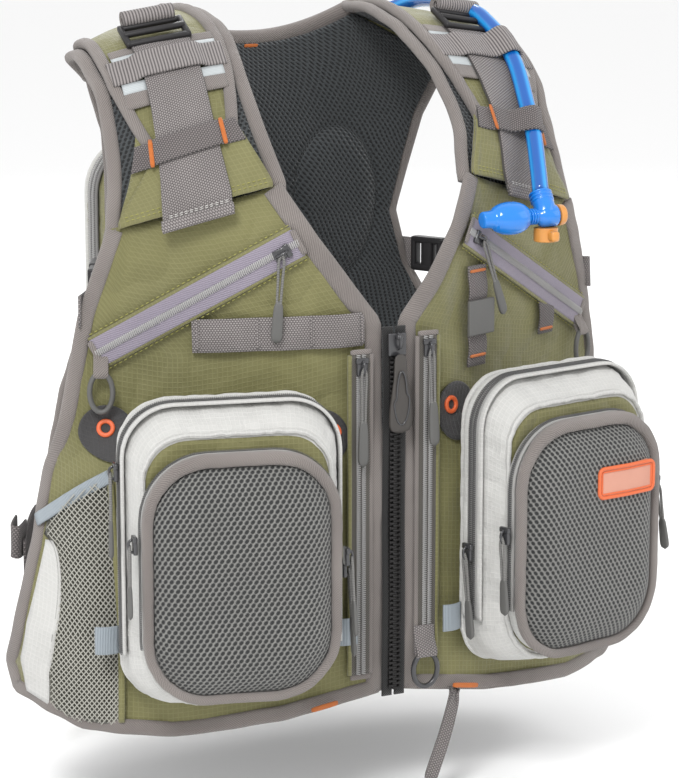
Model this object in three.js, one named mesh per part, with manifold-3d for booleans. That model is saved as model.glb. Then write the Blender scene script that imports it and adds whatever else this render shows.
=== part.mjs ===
// Fishing vest with two zipped chest packs, a rear hydration compartment and a drinking hose.
// Units are millimetres, +Z is up, -Y is the wearer's front, +X is the wearer's left.
// Heights are written above the hem plane; the finished group is lowered so that its origin
// is the level of the wearer's shoulders on the middle plane.
import * as THREE from 'three';
import Module from 'manifold-3d';
import { mergeVertices } from 'three/addons/utils/BufferGeometryUtils.js';

const wasm = await Module();
wasm.setup();

// ---- Driving dimensions -------------------------------------------------------------------
const SHOULDER_HEIGHT = 535;
const CLEARANCE = 0.4;
const CLOTH = 4;
const WEB = 2;
const CHEST_FROM = 215;
const CHEST_TO = 262;
const CHEST_DEPTH = 140;
const CHEST_SLOPE = 0.444;
const CHEST_FLAT = 41;
const BELLY_DEPTH = 143;
const BELLY_POWER = 2.3;
const ZIP_TOP = 321;
const ZIP_BOTTOM = 46;
const HINGE_TOP = [130, 12, 545];
const HINGE_BOTTOM = [235, 20, 20];
const PAD_THICKNESS = 9;
const LINING = 6;
const PAD_CROWN = 3;
const POCKET = { x: 132, y: -133, angle: 12, width: 164, low: 55, high: 284, depth: 44, wall: 3 };
const SHELL = { width: 150, low: 64, high: 252, depth: 27, corner: 42, wall: 3 };
const HOSE_RADIUS = 6.5;

const left = { tag: 'l', sign: 1, pullLean: 24 };
const right = { tag: 'r', sign: -1, pullLean: 0 };
const sides = [left, right];

// ---- Scene graph helpers --------------------------------------------------------------------
const vest = new THREE.Group();
vest.name = 'fishing_vest';
vest.position.z = -SHOULDER_HEIGHT;

function look(color, roughness, metalness = 0) {
  return { color, roughness, metalness };
}

const OLIVE = look(0x6b7040, 0.8);
const BONE = look(0xc9cac4, 0.8);
const TWILL = look(0x6e6a66, 0.9);
const WEBBING = look(0x77726f, 0.85);
const SPACER = look(0x4c585c, 0.95);
const SHELL_MESH = look(0x5f6664, 0.9);
const ZIP_TAPE = look(0x8d8a94, 0.6);
const BLACK = look(0x1c1d20, 0.45);
const RUBBER = look(0x3c4045, 0.6);
const ORANGE = look(0xf08a28, 0.4);
const BLUE = look(0x1583dd, 0.3);
const CLEAR = look(0xcfe0ea, 0.3);

function add(name, geometry, surface, parent = vest) {
  const mesh = new THREE.Mesh(geometry, new THREE.MeshStandardMaterial(surface));
  mesh.name = name;
  parent.add(mesh);
  return mesh;
}

function placed(x, y, z, turn = 0, parent = vest) {
  const group = new THREE.Group();
  group.position.set(x, y, z);
  group.rotation.z = THREE.MathUtils.degToRad(turn);
  parent.add(group);
  return group;
}

// ---- Solid helpers --------------------------------------------------------------------------
function signedVolume(geometry) {
  const corner = geometry.attributes.position;
  const index = geometry.index;
  const [a, b, c] = [new THREE.Vector3(), new THREE.Vector3(), new THREE.Vector3()];
  let volume = 0;
  for (let i = 0; i < index.count; i += 3) {
    a.fromBufferAttribute(corner, index.getX(i));
    b.fromBufferAttribute(corner, index.getX(i + 1));
    c.fromBufferAttribute(corner, index.getX(i + 2));
    volume += a.dot(b.cross(c)) / 6;
  }
  return volume;
}

function facingOut(geometry) {
  if (signedVolume(geometry) < 0) {
    const index = geometry.index.array;
    for (let i = 0; i < index.length; i += 3) {
      [index[i + 1], index[i + 2]] = [index[i + 2], index[i + 1]];
    }
  }
  geometry.computeVertexNormals();
  return geometry;
}

// A curved plate: outer(u, v) gives its outer face, and it grows inward along the face normal.
function plate(outer, columns, rows, thickness, lift = 0) {
  const step = 1e-3;
  const points = [];
  const faces = [];
  const layer = (columns + 1) * (rows + 1);
  const normal = (u, v) => {
    const du = outer(Math.min(u + step, 1), v).sub(outer(Math.max(u - step, 0), v));
    const dv = outer(u, Math.min(v + step, 1)).sub(outer(u, Math.max(v - step, 0)));
    return du.cross(dv).normalize();
  };
  const facing = Math.sign(outer(0.5, 0.5).sub(new THREE.Vector3(0, 30, 260)).dot(normal(0.5, 0.5)));
  for (const depth of [lift, lift - thickness]) {
    for (let j = 0; j <= rows; j++) {
      for (let i = 0; i <= columns; i++) {
        const [u, v] = [i / columns, j / rows];
        const point = outer(u, v).addScaledVector(normal(u, v), facing * depth);
        points.push(point.x, point.y, point.z);
      }
    }
  }
  const at = (i, j, k) => k * layer + j * (columns + 1) + i;
  const quad = (a, b, c, d) => faces.push(a, b, c, a, c, d);
  for (let j = 0; j < rows; j++) {
    for (let i = 0; i < columns; i++) {
      quad(at(i, j, 0), at(i + 1, j, 0), at(i + 1, j + 1, 0), at(i, j + 1, 0));
      quad(at(i, j, 1), at(i, j + 1, 1), at(i + 1, j + 1, 1), at(i + 1, j, 1));
    }
    quad(at(0, j, 0), at(0, j + 1, 0), at(0, j + 1, 1), at(0, j, 1));
    quad(at(columns, j, 0), at(columns, j, 1), at(columns, j + 1, 1), at(columns, j + 1, 0));
  }
  for (let i = 0; i < columns; i++) {
    quad(at(i, 0, 0), at(i, 0, 1), at(i + 1, 0, 1), at(i + 1, 0, 0));
    quad(at(i, rows, 0), at(i + 1, rows, 0), at(i + 1, rows, 1), at(i, rows, 1));
  }
  const geometry = new THREE.BufferGeometry();
  geometry.setAttribute('position', new THREE.Float32BufferAttribute(points, 3));
  geometry.setIndex(faces);
  return facingOut(geometry);
}

function toSolid(geometry) {
  const bare = geometry.clone();
  bare.deleteAttribute('normal');
  bare.deleteAttribute('uv');
  const merged = mergeVertices(bare, 1e-4);
  const vertProperties = new Float32Array(merged.attributes.position.array);
  const triVerts = new Uint32Array(merged.index.array);
  return new wasm.Manifold(new wasm.Mesh({ numProp: 3, vertProperties, triVerts }));
}

function fromSolid(solid) {
  const mesh = solid.getMesh();
  const geometry = new THREE.BufferGeometry();
  geometry.setAttribute('position', new THREE.Float32BufferAttribute(mesh.vertProperties, 3));
  geometry.setIndex(Array.from(mesh.triVerts));
  return facingOut(geometry);
}

function cutting(geometry, ...tools) {
  let solid = toSolid(geometry);
  for (const tool of tools) {
    solid = solid.subtract(toSolid(tool));
  }
  return fromSolid(solid);
}

function joining(geometry, ...others) {
  let solid = toSolid(geometry);
  for (const other of others) {
    solid = solid.add(toSolid(other));
  }
  return fromSolid(solid);
}

function common(geometry, other) {
  return fromSolid(toSolid(geometry).intersect(toSolid(other)));
}

function block(width, depth, height, x = 0, y = 0, z = 0) {
  return new THREE.BoxGeometry(width, depth, height).translate(x, y, z);
}

function roundedRectangle(width, height, corner) {
  const [x, y] = [width / 2, height / 2];
  const outline = new THREE.Shape();
  outline.moveTo(-x + corner, -y);
  outline.lineTo(x - corner, -y);
  outline.absarc(x - corner, -y + corner, corner, -Math.PI / 2, 0, false);
  outline.lineTo(x, y - corner);
  outline.absarc(x - corner, y - corner, corner, 0, Math.PI / 2, false);
  outline.lineTo(-x + corner, y);
  outline.absarc(-x + corner, y - corner, corner, Math.PI / 2, Math.PI, false);
  outline.lineTo(-x, -y + corner);
  outline.absarc(-x + corner, -y + corner, corner, Math.PI, Math.PI * 1.5, false);
  return outline;
}

// A box with rounded corners that stands out along -Y from the plane y = 0.
function raised(width, height, depth, corner, soft, segments = 4) {
  const geometry = new THREE.ExtrudeGeometry(roundedRectangle(width, height, corner), {
    depth: depth - soft,
    bevelThickness: soft,
    bevelSize: soft,
    bevelOffset: -soft,
    bevelSegments: 2,
    curveSegments: segments,
  });
  geometry.rotateX(Math.PI / 2);
  const keep = block(width * 2, depth, height * 2, 0, -depth / 2, 0);
  return common(geometry, keep);
}

// The same box made hollow, with its mouth at y = 0.
function tray(width, height, depth, corner, soft, wall) {
  const outside = raised(width, height, depth, corner, soft);
  const inside = raised(width - 2 * wall, height - 2 * wall, depth - wall, corner - wall, soft - 1);
  inside.translate(0, 0.5, 0);
  return cutting(outside, inside);
}

function flatRing(width, height, bar, thickness) {
  const corner = 0.42 * Math.min(width, height);
  const outline = roundedRectangle(width, height, corner);
  const inner = roundedRectangle(width - 2 * bar, height - 2 * bar, corner - bar);
  outline.holes.push(new THREE.Path(inner.getPoints(5).reverse()));
  const geometry = new THREE.ExtrudeGeometry(outline, {
    depth: thickness,
    bevelEnabled: false,
    curveSegments: 5,
  });
  return geometry.rotateX(Math.PI / 2).translate(0, thickness / 2, 0);
}

function hoseAlong(points, radius) {
  const section = new THREE.Shape();
  section.absarc(0, 0, radius, 0, Math.PI * 2, false);
  const path = new THREE.CatmullRomCurve3(points.map((point) => new THREE.Vector3(...point)));
  const steps = Math.round(path.getLength() / (radius * 4));
  return new THREE.ExtrudeGeometry(section, { extrudePath: path, steps, curveSegments: 5 });
}

// Turns a piece drawn along X, with +Z across it, so that X runs from start to end and its
// back lies on a face whose outward direction is given.
function laidBetween(geometry, start, end, outward) {
  const along = end.clone().sub(start).normalize();
  const across = along.clone().cross(outward).normalize().negate();
  const out = across.clone().cross(along).normalize();
  const basis = new THREE.Matrix4().makeBasis(along, out.clone().negate(), across.clone().negate());
  if (basis.determinant() < 0) {
    basis.makeBasis(along, out.clone().negate(), across);
  }
  basis.setPosition(start.clone().add(end).multiplyScalar(0.5));
  return geometry.applyMatrix4(basis);
}

// ---- The body surface -------------------------------------------------------------------------
function halfWidth(height) {
  const rise = THREE.MathUtils.clamp((height - 105) / 200, 0, 1);
  const drop = THREE.MathUtils.clamp((105 - height) / 105, 0, 1);
  return 272 - 46 * rise * (1.35 - 0.35 * rise) - 10 * drop * drop;
}

function frontDepth(x, height) {
  const share = Math.min(x / halfWidth(height), 0.985);
  const belly = -BELLY_DEPTH * (1 - share ** BELLY_POWER) ** (1 / BELLY_POWER);
  const soft = 12;
  const past = soft * Math.log(1 + Math.exp((x - CHEST_FLAT) / soft));
  const chest = -CHEST_DEPTH + CHEST_SLOPE * past + 0.25 * Math.max(0, height - 395);
  const mix = THREE.MathUtils.smoothstep(height, CHEST_FROM, CHEST_TO);
  return THREE.MathUtils.lerp(belly, chest, mix);
}

function onFront(side, x, height) {
  return new THREE.Vector3(side.sign * x, frontDepth(x, height), height);
}

function polyline(table, at) {
  const last = table.length - 1;
  for (let i = 0; i < last; i++) {
    const [from, to] = [table[i], table[i + 1]];
    if (at <= to[0] || i === last - 1) {
      const share = THREE.MathUtils.clamp((at - from[0]) / (to[0] - from[0]), 0, 1);
      return THREE.MathUtils.lerp(from[1], to[1], share);
    }
  }
  return table[last][1];
}

// Edges of a front panel, as [height, x] from the hem up, and its hem and yoke line.
const NECK_EDGE = [[20, 11], [325, 11], [350, 31], [390, 60], [430, 82]];
const ARM_EDGE = [[10, 246], [40, 262], [75, 267], [105, 264], [165, 248], [240, 232], [335, 215], [400, 194]];
const HEM_LINE = [[0, 44], [0.3, 32], [0.65, 25], [0.88, 30], [1, 52]];
const YOKE_LINE = [[0, 428], [1, 398]];

function frontPanel(side) {
  return plate((u, v) => {
    const height = THREE.MathUtils.lerp(polyline(HEM_LINE, u), polyline(YOKE_LINE, u), v);
    const x = THREE.MathUtils.lerp(polyline(NECK_EDGE, height), polyline(ARM_EDGE, height), u);
    return onFront(side, x, height);
  }, 10, 18, CLOTH);
}

// ---- The shoulder surface ---------------------------------------------------------------------
const PAD_INNER = [[82, -113, 431], [88, -92, 468], [86, -55, 507], [80, -18, 532], [78, 15, 544],
  [79, 50, 549], [84, 88, 546]];
const PAD_OUTER = [[190, -74, 401], [184, -64, 440], [181, -40, 490], [181, -10, 514], [180, 15, 523],
  [176, 44, 519], [158, 64, 502]];

function curveThrough(points, side) {
  return new THREE.CatmullRomCurve3(points.map(([x, y, z]) => new THREE.Vector3(side.sign * x, y, z)));
}

function onPad(side) {
  const inner = curveThrough(PAD_INNER, side);
  const outer = curveThrough(PAD_OUTER, side);
  return (u, v) => {
    const point = inner.getPoint(v).lerp(outer.getPoint(v), u);
    const ahead = Math.min(v + 0.01, 1);
    const behind = Math.max(v - 0.01, 0);
    const across = outer.getPoint(v).sub(inner.getPoint(v));
    const along = inner.getPoint(ahead).sub(inner.getPoint(behind));
    const up = across.cross(along).multiplyScalar(-side.sign).normalize();
    return point.addScaledVector(up, PAD_CROWN * (1 - (2 * u - 1) ** 2));
  };
}

function padStrip(side, u0, u1, v0, v1, columns, rows, thickness, lift) {
  const surface = onPad(side);
  const strip = (u, v) => {
    const across = THREE.MathUtils.lerp(u0, u1, u);
    return surface(across, THREE.MathUtils.lerp(v0, v1, v));
  };
  return plate(strip, columns, rows, thickness, lift);
}

function hingePin(side, radius) {
  const top = new THREE.Vector3(side.sign * HINGE_TOP[0], HINGE_TOP[1], HINGE_TOP[2]);
  const bottom = new THREE.Vector3(side.sign * HINGE_BOTTOM[0], HINGE_BOTTOM[1], HINGE_BOTTOM[2]);
  const upward = top.clone().sub(bottom).normalize();
  const pin = new THREE.CylinderGeometry(radius, radius, 400, 28);
  pin.applyQuaternion(new THREE.Quaternion().setFromUnitVectors(new THREE.Vector3(0, 1, 0), upward));
  return pin.translate(top.x, top.y, top.z);
}

function shoulderPads(side) {
  const whole = padStrip(side, 0, 1, 0, 1, 8, 26, PAD_THICKNESS, 0);
  const ahead = block(400, 400, 400, side.sign * 130, HINGE_TOP[1] - 200, 500);
  const turning = joining(ahead, hingePin(side, 46));
  const behind = block(400, 30, 400, side.sign * 130, HINGE_TOP[1] + 15, 500);
  const fixed = cutting(whole, joining(ahead, behind, hingePin(side, 50)));
  add(`shoulder_pad_${side.tag}`, common(whole, turning), OLIVE);
  add(`shoulder_back_${side.tag}`, fixed, OLIVE);
}

// ---- Front panels and what is sewn on them ------------------------------------------------------
const DIAGONAL_TOP = [70, 388];
const DIAGONAL_BOTTOM = [205, 307];

function chestNormal(side) {
  return new THREE.Vector3(side.sign * CHEST_SLOPE, -1, 0).normalize();
}

function onChest(side, x, height, lift) {
  const y = -CHEST_DEPTH + CHEST_SLOPE * (x - CHEST_FLAT) - 0.8;
  return new THREE.Vector3(side.sign * x, y, height).addScaledVector(chestNormal(side), lift);
}

function diagonalZip(side) {
  const start = onChest(side, ...DIAGONAL_TOP, CLEARANCE + 1.5);
  const end = onChest(side, ...DIAGONAL_BOTTOM, CLEARANCE + 1.5);
  const tape = block(start.distanceTo(end), 3, 21);
  add(`diagonal_zip_${side.tag}`, laidBetween(tape, start, end, chestNormal(side)), ZIP_TAPE);

  const lift = CLEARANCE * 2 + 3 + 3;
  const rest = onChest(side, DIAGONAL_TOP[0] + 4, DIAGONAL_TOP[1] - 4, lift);
  const ahead = onChest(side, DIAGONAL_TOP[0] + 18, DIAGONAL_TOP[1] - 12.4, lift);
  const body = laidBetween(block(16, 6, 9), rest, ahead, chestNormal(side));
  const middle = rest.clone().add(ahead).multiplyScalar(0.5);
  const pull = block(8, 3, 66);
  pull.rotateY(-THREE.MathUtils.degToRad(side.pullLean) * side.sign);
  pull.rotateZ(Math.atan2(CHEST_SLOPE, 1) * side.sign);
  const lean = Math.tan(THREE.MathUtils.degToRad(side.pullLean));
  const across = new THREE.Vector3(side.sign, CHEST_SLOPE, 0).normalize();
  const hang = middle.clone().addScaledVector(across, 35 * lean).add(new THREE.Vector3(0, 0, -35));
  hang.addScaledVector(chestNormal(side), 0.6);
  pull.translate(hang.x, hang.y, hang.z);
  add(`diagonal_slider_${side.tag}`, joining(body, pull), RUBBER);

  const ring = flatRing(20, 34, 4.5, 4);
  ring.rotateZ(Math.atan2(CHEST_SLOPE, 1) * side.sign);
  const seat = onChest(side, DIAGONAL_BOTTOM[0] - 3, DIAGONAL_BOTTOM[1] - 28, CLEARANCE + 7);
  ring.translate(seat.x, seat.y, seat.z);
  add(`chest_ring_${side.tag}`, ring, RUBBER);
}

function centreZipHalf(side) {
  const height = ZIP_TOP - ZIP_BOTTOM;
  const middle = (ZIP_TOP + ZIP_BOTTOM) / 2;
  const tape = block(8, 3, height, side.sign * 4.6, -145.9, middle);
  add(`centre_zip_${side.tag}`, tape, BLACK);
}

function verticalZip(side) {
  const raise = side.sign > 0 ? 10 : 0;
  const [top, bottom] = [304 + raise, 68 + raise];
  const tape = block(17, 2.4, top - bottom, side.sign * 28, -145, (top + bottom) / 2);
  add(`flap_zip_${side.tag}`, tape, ZIP_TAPE);
  const body = block(9, 5, 15, side.sign * 28, -149.2, top - 10);
  const pull = block(8, 3, 66, side.sign * 29, -150.2, top - 46);
  add(`flap_slider_${side.tag}`, joining(body, pull), RUBBER);
}

function strapAndYoke(side) {
  const lift = CLEARANCE + 2.5;
  add(`yoke_${side.tag}`, padStrip(side, 0.02, 0.98, 0.005, 0.14, 8, 4, 2.5, lift), OLIVE);
  const above = lift + CLEARANCE;
  add(`load_strap_${side.tag}`, padStrip(side, 0.28, 0.7, 0.02, 0.37, 3, 8, WEB, above + WEB), WEBBING);
  const keeper = above + WEB + CLEARANCE;
  const band = padStrip(side, 0.1, 0.88, 0.15, 0.205, 6, 2, WEB, keeper + WEB);
  add(`strap_keeper_${side.tag}`, band, WEBBING);
  const over = padStrip(side, 0.06, 0.94, 0.4, 0.455, 6, 2, WEB, CLEARANCE + WEB);
  add(`shoulder_band_${side.tag}`, over, WEBBING);
}

function chestPocket(side) {
  const turn = POCKET.angle * side.sign;
  const group = placed(side.sign * POCKET.x, POCKET.y, 0, turn);
  const height = POCKET.high - POCKET.low;
  const middle = (POCKET.high + POCKET.low) / 2;
  const bag = tray(POCKET.width, height, POCKET.depth, 34, 8, POCKET.wall).translate(0, 0, middle);
  add(`pocket_${side.tag}`, bag, BONE, group);

  const cover = tray(SHELL.width, SHELL.high - SHELL.low, SHELL.depth, SHELL.corner, 14, SHELL.wall);
  cover.translate(0, -POCKET.depth - CLEARANCE, (SHELL.high + SHELL.low) / 2);
  add(`moulded_shell_${side.tag}`, cover, SHELL_MESH, group);

  const medial = -side.sign;
  const flank = medial * (POCKET.width / 2 + CLEARANCE + 2.5);
  const runner = block(5, 9, 14, flank, -16, 150);
  const tab = block(3, 8, 62, flank, -16, 116);
  add(`pocket_slider_${side.tag}`, joining(runner, tab), RUBBER, group);

  const rim = medial * (SHELL.width / 2 + CLEARANCE + 2.5);
  const shellRunner = block(5, 8, 13, rim, -POCKET.depth - 6, 168);
  const shellTab = block(3, 7, 56, rim, -POCKET.depth - 6, 138);
  add(`shell_slider_${side.tag}`, joining(shellRunner, shellTab), RUBBER, group);
}

// ---- Side straps with side-release buckles ------------------------------------------------------
const STRAP_HEIGHT = 338;
const WING_END = [136, 98];
const PANEL_END = [214, -60];

function alongSideStrap(side, share) {
  const x = THREE.MathUtils.lerp(WING_END[0], PANEL_END[0], share);
  const y = THREE.MathUtils.lerp(WING_END[1], PANEL_END[1], share);
  return new THREE.Vector3(side.sign * x, y, STRAP_HEIGHT);
}

function strapPiece(side, from, to, width, thickness) {
  const [start, end] = [alongSideStrap(side, from), alongSideStrap(side, to)];
  const outward = new THREE.Vector3(side.sign * 2, 1, 0).normalize();
  return laidBetween(block(start.distanceTo(end), thickness, width), start, end, outward);
}

function sideStraps(side) {
  add(`buckle_body_${side.tag}`, strapPiece(side, 0.06, 0.25, 30, 9), BLACK);
  add(`buckle_clip_${side.tag}`, strapPiece(side, 0.254, 0.38, 28, 7), BLACK);
  add(`side_web_${side.tag}`, strapPiece(side, 0.56, 0.97, 25, WEB), WEBBING);
}

function waistStrap(side) {
  const start = new THREE.Vector3(side.sign * 212, 64, 152);
  const end = new THREE.Vector3(side.sign * 216, 36, 152);
  const outward = new THREE.Vector3(side.sign, 0, 0);
  const web = laidBetween(block(start.distanceTo(end), WEB, 25), start, end, outward);
  add(`waist_strap_${side.tag}`, web, WEBBING);
}

// ---- The back -----------------------------------------------------------------------------------
const BACK_EDGE = [[20, 206], [60, 208], [150, 204], [250, 178], [330, 137], [374, 126], [415, 132],
  [454, 139], [490, 146], [520, 92]];
const BACK_DEPTH = 114;
const BACK_WRAP = [[20, 62], [150, 62], [250, 78], [330, 100], [374, 102], [415, 89], [454, 78], [490, 66],
  [520, 100]];

function onBack(across, height) {
  const reach = polyline(BACK_EDGE, height);
  const side = polyline(BACK_WRAP, height);
  const y = BACK_DEPTH - (BACK_DEPTH - side) * Math.abs(across) ** 2.5;
  return new THREE.Vector3(across * reach, y, height);
}

function backPanel() {
  const surface = (low, high, spread) => (u, v) =>
    onBack((2 * u - 1) * spread, THREE.MathUtils.lerp(low, high, v));
  add('back_panel', plate(surface(20, 520, 1), 16, 20, CLOTH), OLIVE);
  add('back_lining', plate(surface(70, 512, 0.86), 12, 14, LINING, -CLOTH - 4 * CLEARANCE), SPACER);
}

const PACK = { width: 250, low: 60, high: 440, depth: 52, corner: 40, wall: 3 };
const PACK_FACE = BACK_DEPTH + CLEARANCE;

function backPack() {
  const middle = (PACK.low + PACK.high) / 2;
  const height = PACK.high - PACK.low;
  const bag = tray(PACK.width, height, PACK.depth, PACK.corner, 12, PACK.wall);
  const notch = block(22, 24, 30, -70, -22, height / 2 - 4);
  const slotted = cutting(bag, notch);
  slotted.rotateZ(Math.PI).translate(0, PACK_FACE, middle);
  add('back_pack', slotted, OLIVE);

  const bladder = raised(200, 320, 30, 45, 10).rotateZ(Math.PI).translate(0, PACK_FACE + 3, 236);
  add('water_bladder', bladder, CLEAR);

  const loop = flatRing(100, 30, 4, 22).translate(0, PACK_FACE + 12, 480);
  add('haul_loop', loop, WEBBING);
}

// ---- Drinking hose ---------------------------------------------------------------------------------
const HOSE_REAR = [[70, 141, 400], [70, 141, 425], [72, 139, 455], [84, 134, 492], [104, 122, 520],
  [122, 104, 536], [134, 84, 545], [140, 62, 548], [143, 32, 546]];
const HOSE_FRONT = [[148, 0, 540], [150, -14, 534], [152, -36, 521], [152, -58, 502], [149, -78, 478],
  [145, -98, 452], [139, -115, 430], [134, -128, 412]];

function drinkingHose() {
  add('hose_rear', hoseAlong(HOSE_REAR, HOSE_RADIUS), BLUE);
  add('hose_front', hoseAlong(HOSE_FRONT, HOSE_RADIUS), BLUE);

  const valveAt = placed(133, -138, 396);
  const collar = new THREE.CylinderGeometry(7.5, 8.5, 14, 12).rotateX(Math.PI / 2).translate(0, 0, 6);
  const profile = [[0, 0], [5, 0], [5, 14], [8, 20], [12, 28], [12.5, 38], [9, 46], [6, 50], [6, 56], [0, 56]];
  const bulb = new THREE.LatheGeometry(profile.map(([x, y]) => new THREE.Vector2(x, y)), 14);
  bulb.rotateZ(Math.PI / 2);
  add('bite_valve', joining(collar, bulb), BLUE, valveAt);

  const dial = new THREE.CylinderGeometry(9, 8, 11, 14).rotateX(Math.PI / 2).translate(0, 0, -14.5);
  const handle = block(6, 12, 9, 0, -10, -14.5);
  add('shutoff_lever', joining(dial, handle), ORANGE, valveAt);
}

// ---- Single pieces ---------------------------------------------------------------------------------
function centrePull() {
  const plateFront = block(15, 3.2, 19, 0, -149.7, ZIP_TOP - 11);
  const lug = block(5, 6, 4, 0, -153.5, ZIP_TOP - 5);
  add('centre_slider', joining(plateFront, lug), BLACK);
  const drop = new THREE.Shape();
  drop.absarc(0, 0, 5, 0, Math.PI, false);
  drop.quadraticCurveTo(-8, -14, -9.5, -38);
  drop.absarc(0, -44, 9.5, Math.PI * 0.85, Math.PI * 2.15, false);
  drop.quadraticCurveTo(8, -14, 5, 0);
  const tab = new THREE.ExtrudeGeometry(drop, { depth: 4, bevelEnabled: false, curveSegments: 5 });
  tab.rotateX(Math.PI / 2).translate(0, -153.1, ZIP_TOP - 23);
  add('centre_pull', tab, RUBBER);
}

function hemPieces() {
  const ring = flatRing(24, 30, 4.5, 4).translate(25, -150.5, 58);
  add('hem_ring', ring, BLACK);
  const loop = flatRing(17, 66, 3, 12).rotateZ(Math.PI / 3).translate(52, -147, 0);
  add('hem_loop', loop, WEBBING);
}

const DOCK = { x: 81, height: 321, width: 31, tall: 27 };

function chestFittings() {
  const rail = (u, v) => onFront(right, THREE.MathUtils.lerp(24, 141, u), 322 - 3 * u + 25 * (v - 0.5));
  add('daisy_chain_r', plate(rail, 8, 2, WEB, CLEARANCE + WEB), WEBBING);

  const turn = THREE.MathUtils.radToDeg(Math.atan(CHEST_SLOPE));
  const seat = onChest(left, DOCK.x, DOCK.height, CLEARANCE);
  const group = placed(seat.x, seat.y, seat.z, turn);
  const strip = block(25, WEB, 62, 0, -WEB / 2, 2);
  const square = block(DOCK.width, 3, DOCK.tall, 0, -WEB - 1.4, 0);
  add('dock_tab_l', joining(strip, square), WEBBING, group);
}

function eyelet(name, side, x, height) {
  const profile = [[3.6, 0], [7, 0], [7, 1.6], [5.3, 2.4], [3.6, 1.6], [3.6, 0]];
  const ring = new THREE.LatheGeometry(profile.map(([r, z]) => new THREE.Vector2(r, z)), 14);
  const step = 4;
  const slope = (frontDepth(x + step, height) - frontDepth(x - step, height)) / (2 * step);
  const lean = (frontDepth(x, height + step) - frontDepth(x, height - step)) / (2 * step);
  const outward = new THREE.Vector3(side.sign * slope, -1, lean).normalize();
  ring.applyQuaternion(new THREE.Quaternion().setFromUnitVectors(new THREE.Vector3(0, 1, 0), outward));
  const seat = onFront(side, x, height).addScaledVector(outward, CLEARANCE + 2.4);
  add(name, ring.translate(seat.x, seat.y, seat.z), ORANGE);
}

// ---- Assembly ----------------------------------------------------------------------------------------
backPanel();
backPack();
for (const side of sides) {
  add(`front_panel_${side.tag}`, frontPanel(side), OLIVE);
  shoulderPads(side);
  strapAndYoke(side);
  diagonalZip(side);
  centreZipHalf(side);
  verticalZip(side);
  chestPocket(side);
  sideStraps(side);
  waistStrap(side);
}
chestFittings();
centrePull();
hemPieces();
drinkingHose();
eyelet('eyelet_outer_r', right, 200, 251);
eyelet('eyelet_inner_r', right, 47, 246);
eyelet('eyelet_inner_l', left, 54, 257);

vest.updateMatrixWorld(true);
export default vest;
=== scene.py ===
"""Fishing vest: the looks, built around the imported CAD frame.

Lengths are written in millimetres with heights above the hem plane, as in the CAD source, and
row() turns them into metres in the row frame, whose origin is at the shoulders.
"""
import math

import bmesh
import bpy
import numpy as np
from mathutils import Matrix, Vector


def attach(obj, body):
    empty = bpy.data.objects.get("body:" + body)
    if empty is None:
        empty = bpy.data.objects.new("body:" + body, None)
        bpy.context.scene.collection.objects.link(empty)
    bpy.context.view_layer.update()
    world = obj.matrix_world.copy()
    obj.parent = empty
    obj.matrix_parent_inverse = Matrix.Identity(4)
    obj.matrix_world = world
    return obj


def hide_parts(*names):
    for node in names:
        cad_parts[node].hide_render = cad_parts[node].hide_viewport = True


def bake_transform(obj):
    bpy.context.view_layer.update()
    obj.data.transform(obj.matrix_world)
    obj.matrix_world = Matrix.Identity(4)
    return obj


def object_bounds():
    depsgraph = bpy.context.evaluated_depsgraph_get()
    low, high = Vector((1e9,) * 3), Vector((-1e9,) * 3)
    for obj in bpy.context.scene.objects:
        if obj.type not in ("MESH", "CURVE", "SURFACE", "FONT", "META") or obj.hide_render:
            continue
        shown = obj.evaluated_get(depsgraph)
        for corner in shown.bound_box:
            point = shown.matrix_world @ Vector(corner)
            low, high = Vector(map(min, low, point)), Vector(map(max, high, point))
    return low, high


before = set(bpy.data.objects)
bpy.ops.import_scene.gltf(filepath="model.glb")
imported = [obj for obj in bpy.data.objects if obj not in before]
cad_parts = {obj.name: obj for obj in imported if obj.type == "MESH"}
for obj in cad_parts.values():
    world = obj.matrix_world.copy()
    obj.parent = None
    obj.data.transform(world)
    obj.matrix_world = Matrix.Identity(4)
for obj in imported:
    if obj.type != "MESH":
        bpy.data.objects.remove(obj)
cad_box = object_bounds()

# ---- Driving dimensions, the same as the CAD source ----
SHOULDER_HEIGHT = 535.0
CHEST_FROM, CHEST_TO = 215.0, 262.0
CHEST_DEPTH, CHEST_SLOPE, CHEST_FLAT, CHEST_SOFT = 140.0, 0.444, 41.0, 12.0
BELLY_DEPTH, BELLY_POWER = 143.0, 2.3
ZIP_TOP, ZIP_BOTTOM = 321.0, 46.0
NECK_EDGE = [(20, 11), (325, 11), (350, 31), (390, 60), (430, 82)]
ARM_EDGE = [(10, 246), (40, 262), (75, 267), (105, 264), (165, 248), (240, 232), (335, 215), (400, 194)]
HEM_LINE = [(0, 44), (0.3, 32), (0.65, 25), (0.88, 30), (1, 52)]
YOKE_LINE = [(0, 428), (1, 398)]
PAD_INNER = [(82, -113, 431), (88, -92, 468), (86, -55, 507), (80, -18, 532), (78, 15, 544),
             (79, 50, 549), (84, 88, 546)]
PAD_OUTER = [(190, -74, 401), (184, -64, 440), (181, -40, 490), (181, -10, 514), (180, 15, 523),
             (176, 44, 519), (158, 64, 502)]
PAD_CROWN = 3.0
POCKET_X, POCKET_Y, POCKET_TURN = 132.0, -133.0, math.radians(12)
POCKET_W, POCKET_LOW, POCKET_HIGH = 164.0, 55.0, 284.0
SHELL_W, SHELL_LOW, SHELL_HIGH, SHELL_CORNER = 150.0, 64.0, 252.0, 46.0
BACK_EDGE = [(20, 206), (60, 208), (150, 204), (250, 178), (330, 137), (374, 126), (415, 132),
             (454, 139), (490, 146), (520, 92)]
BACK_WRAP = [(20, 62), (150, 62), (250, 78), (330, 100), (374, 102), (415, 89), (454, 78), (490, 66),
             (520, 100)]
BACK_DEPTH = 114.0
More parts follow.
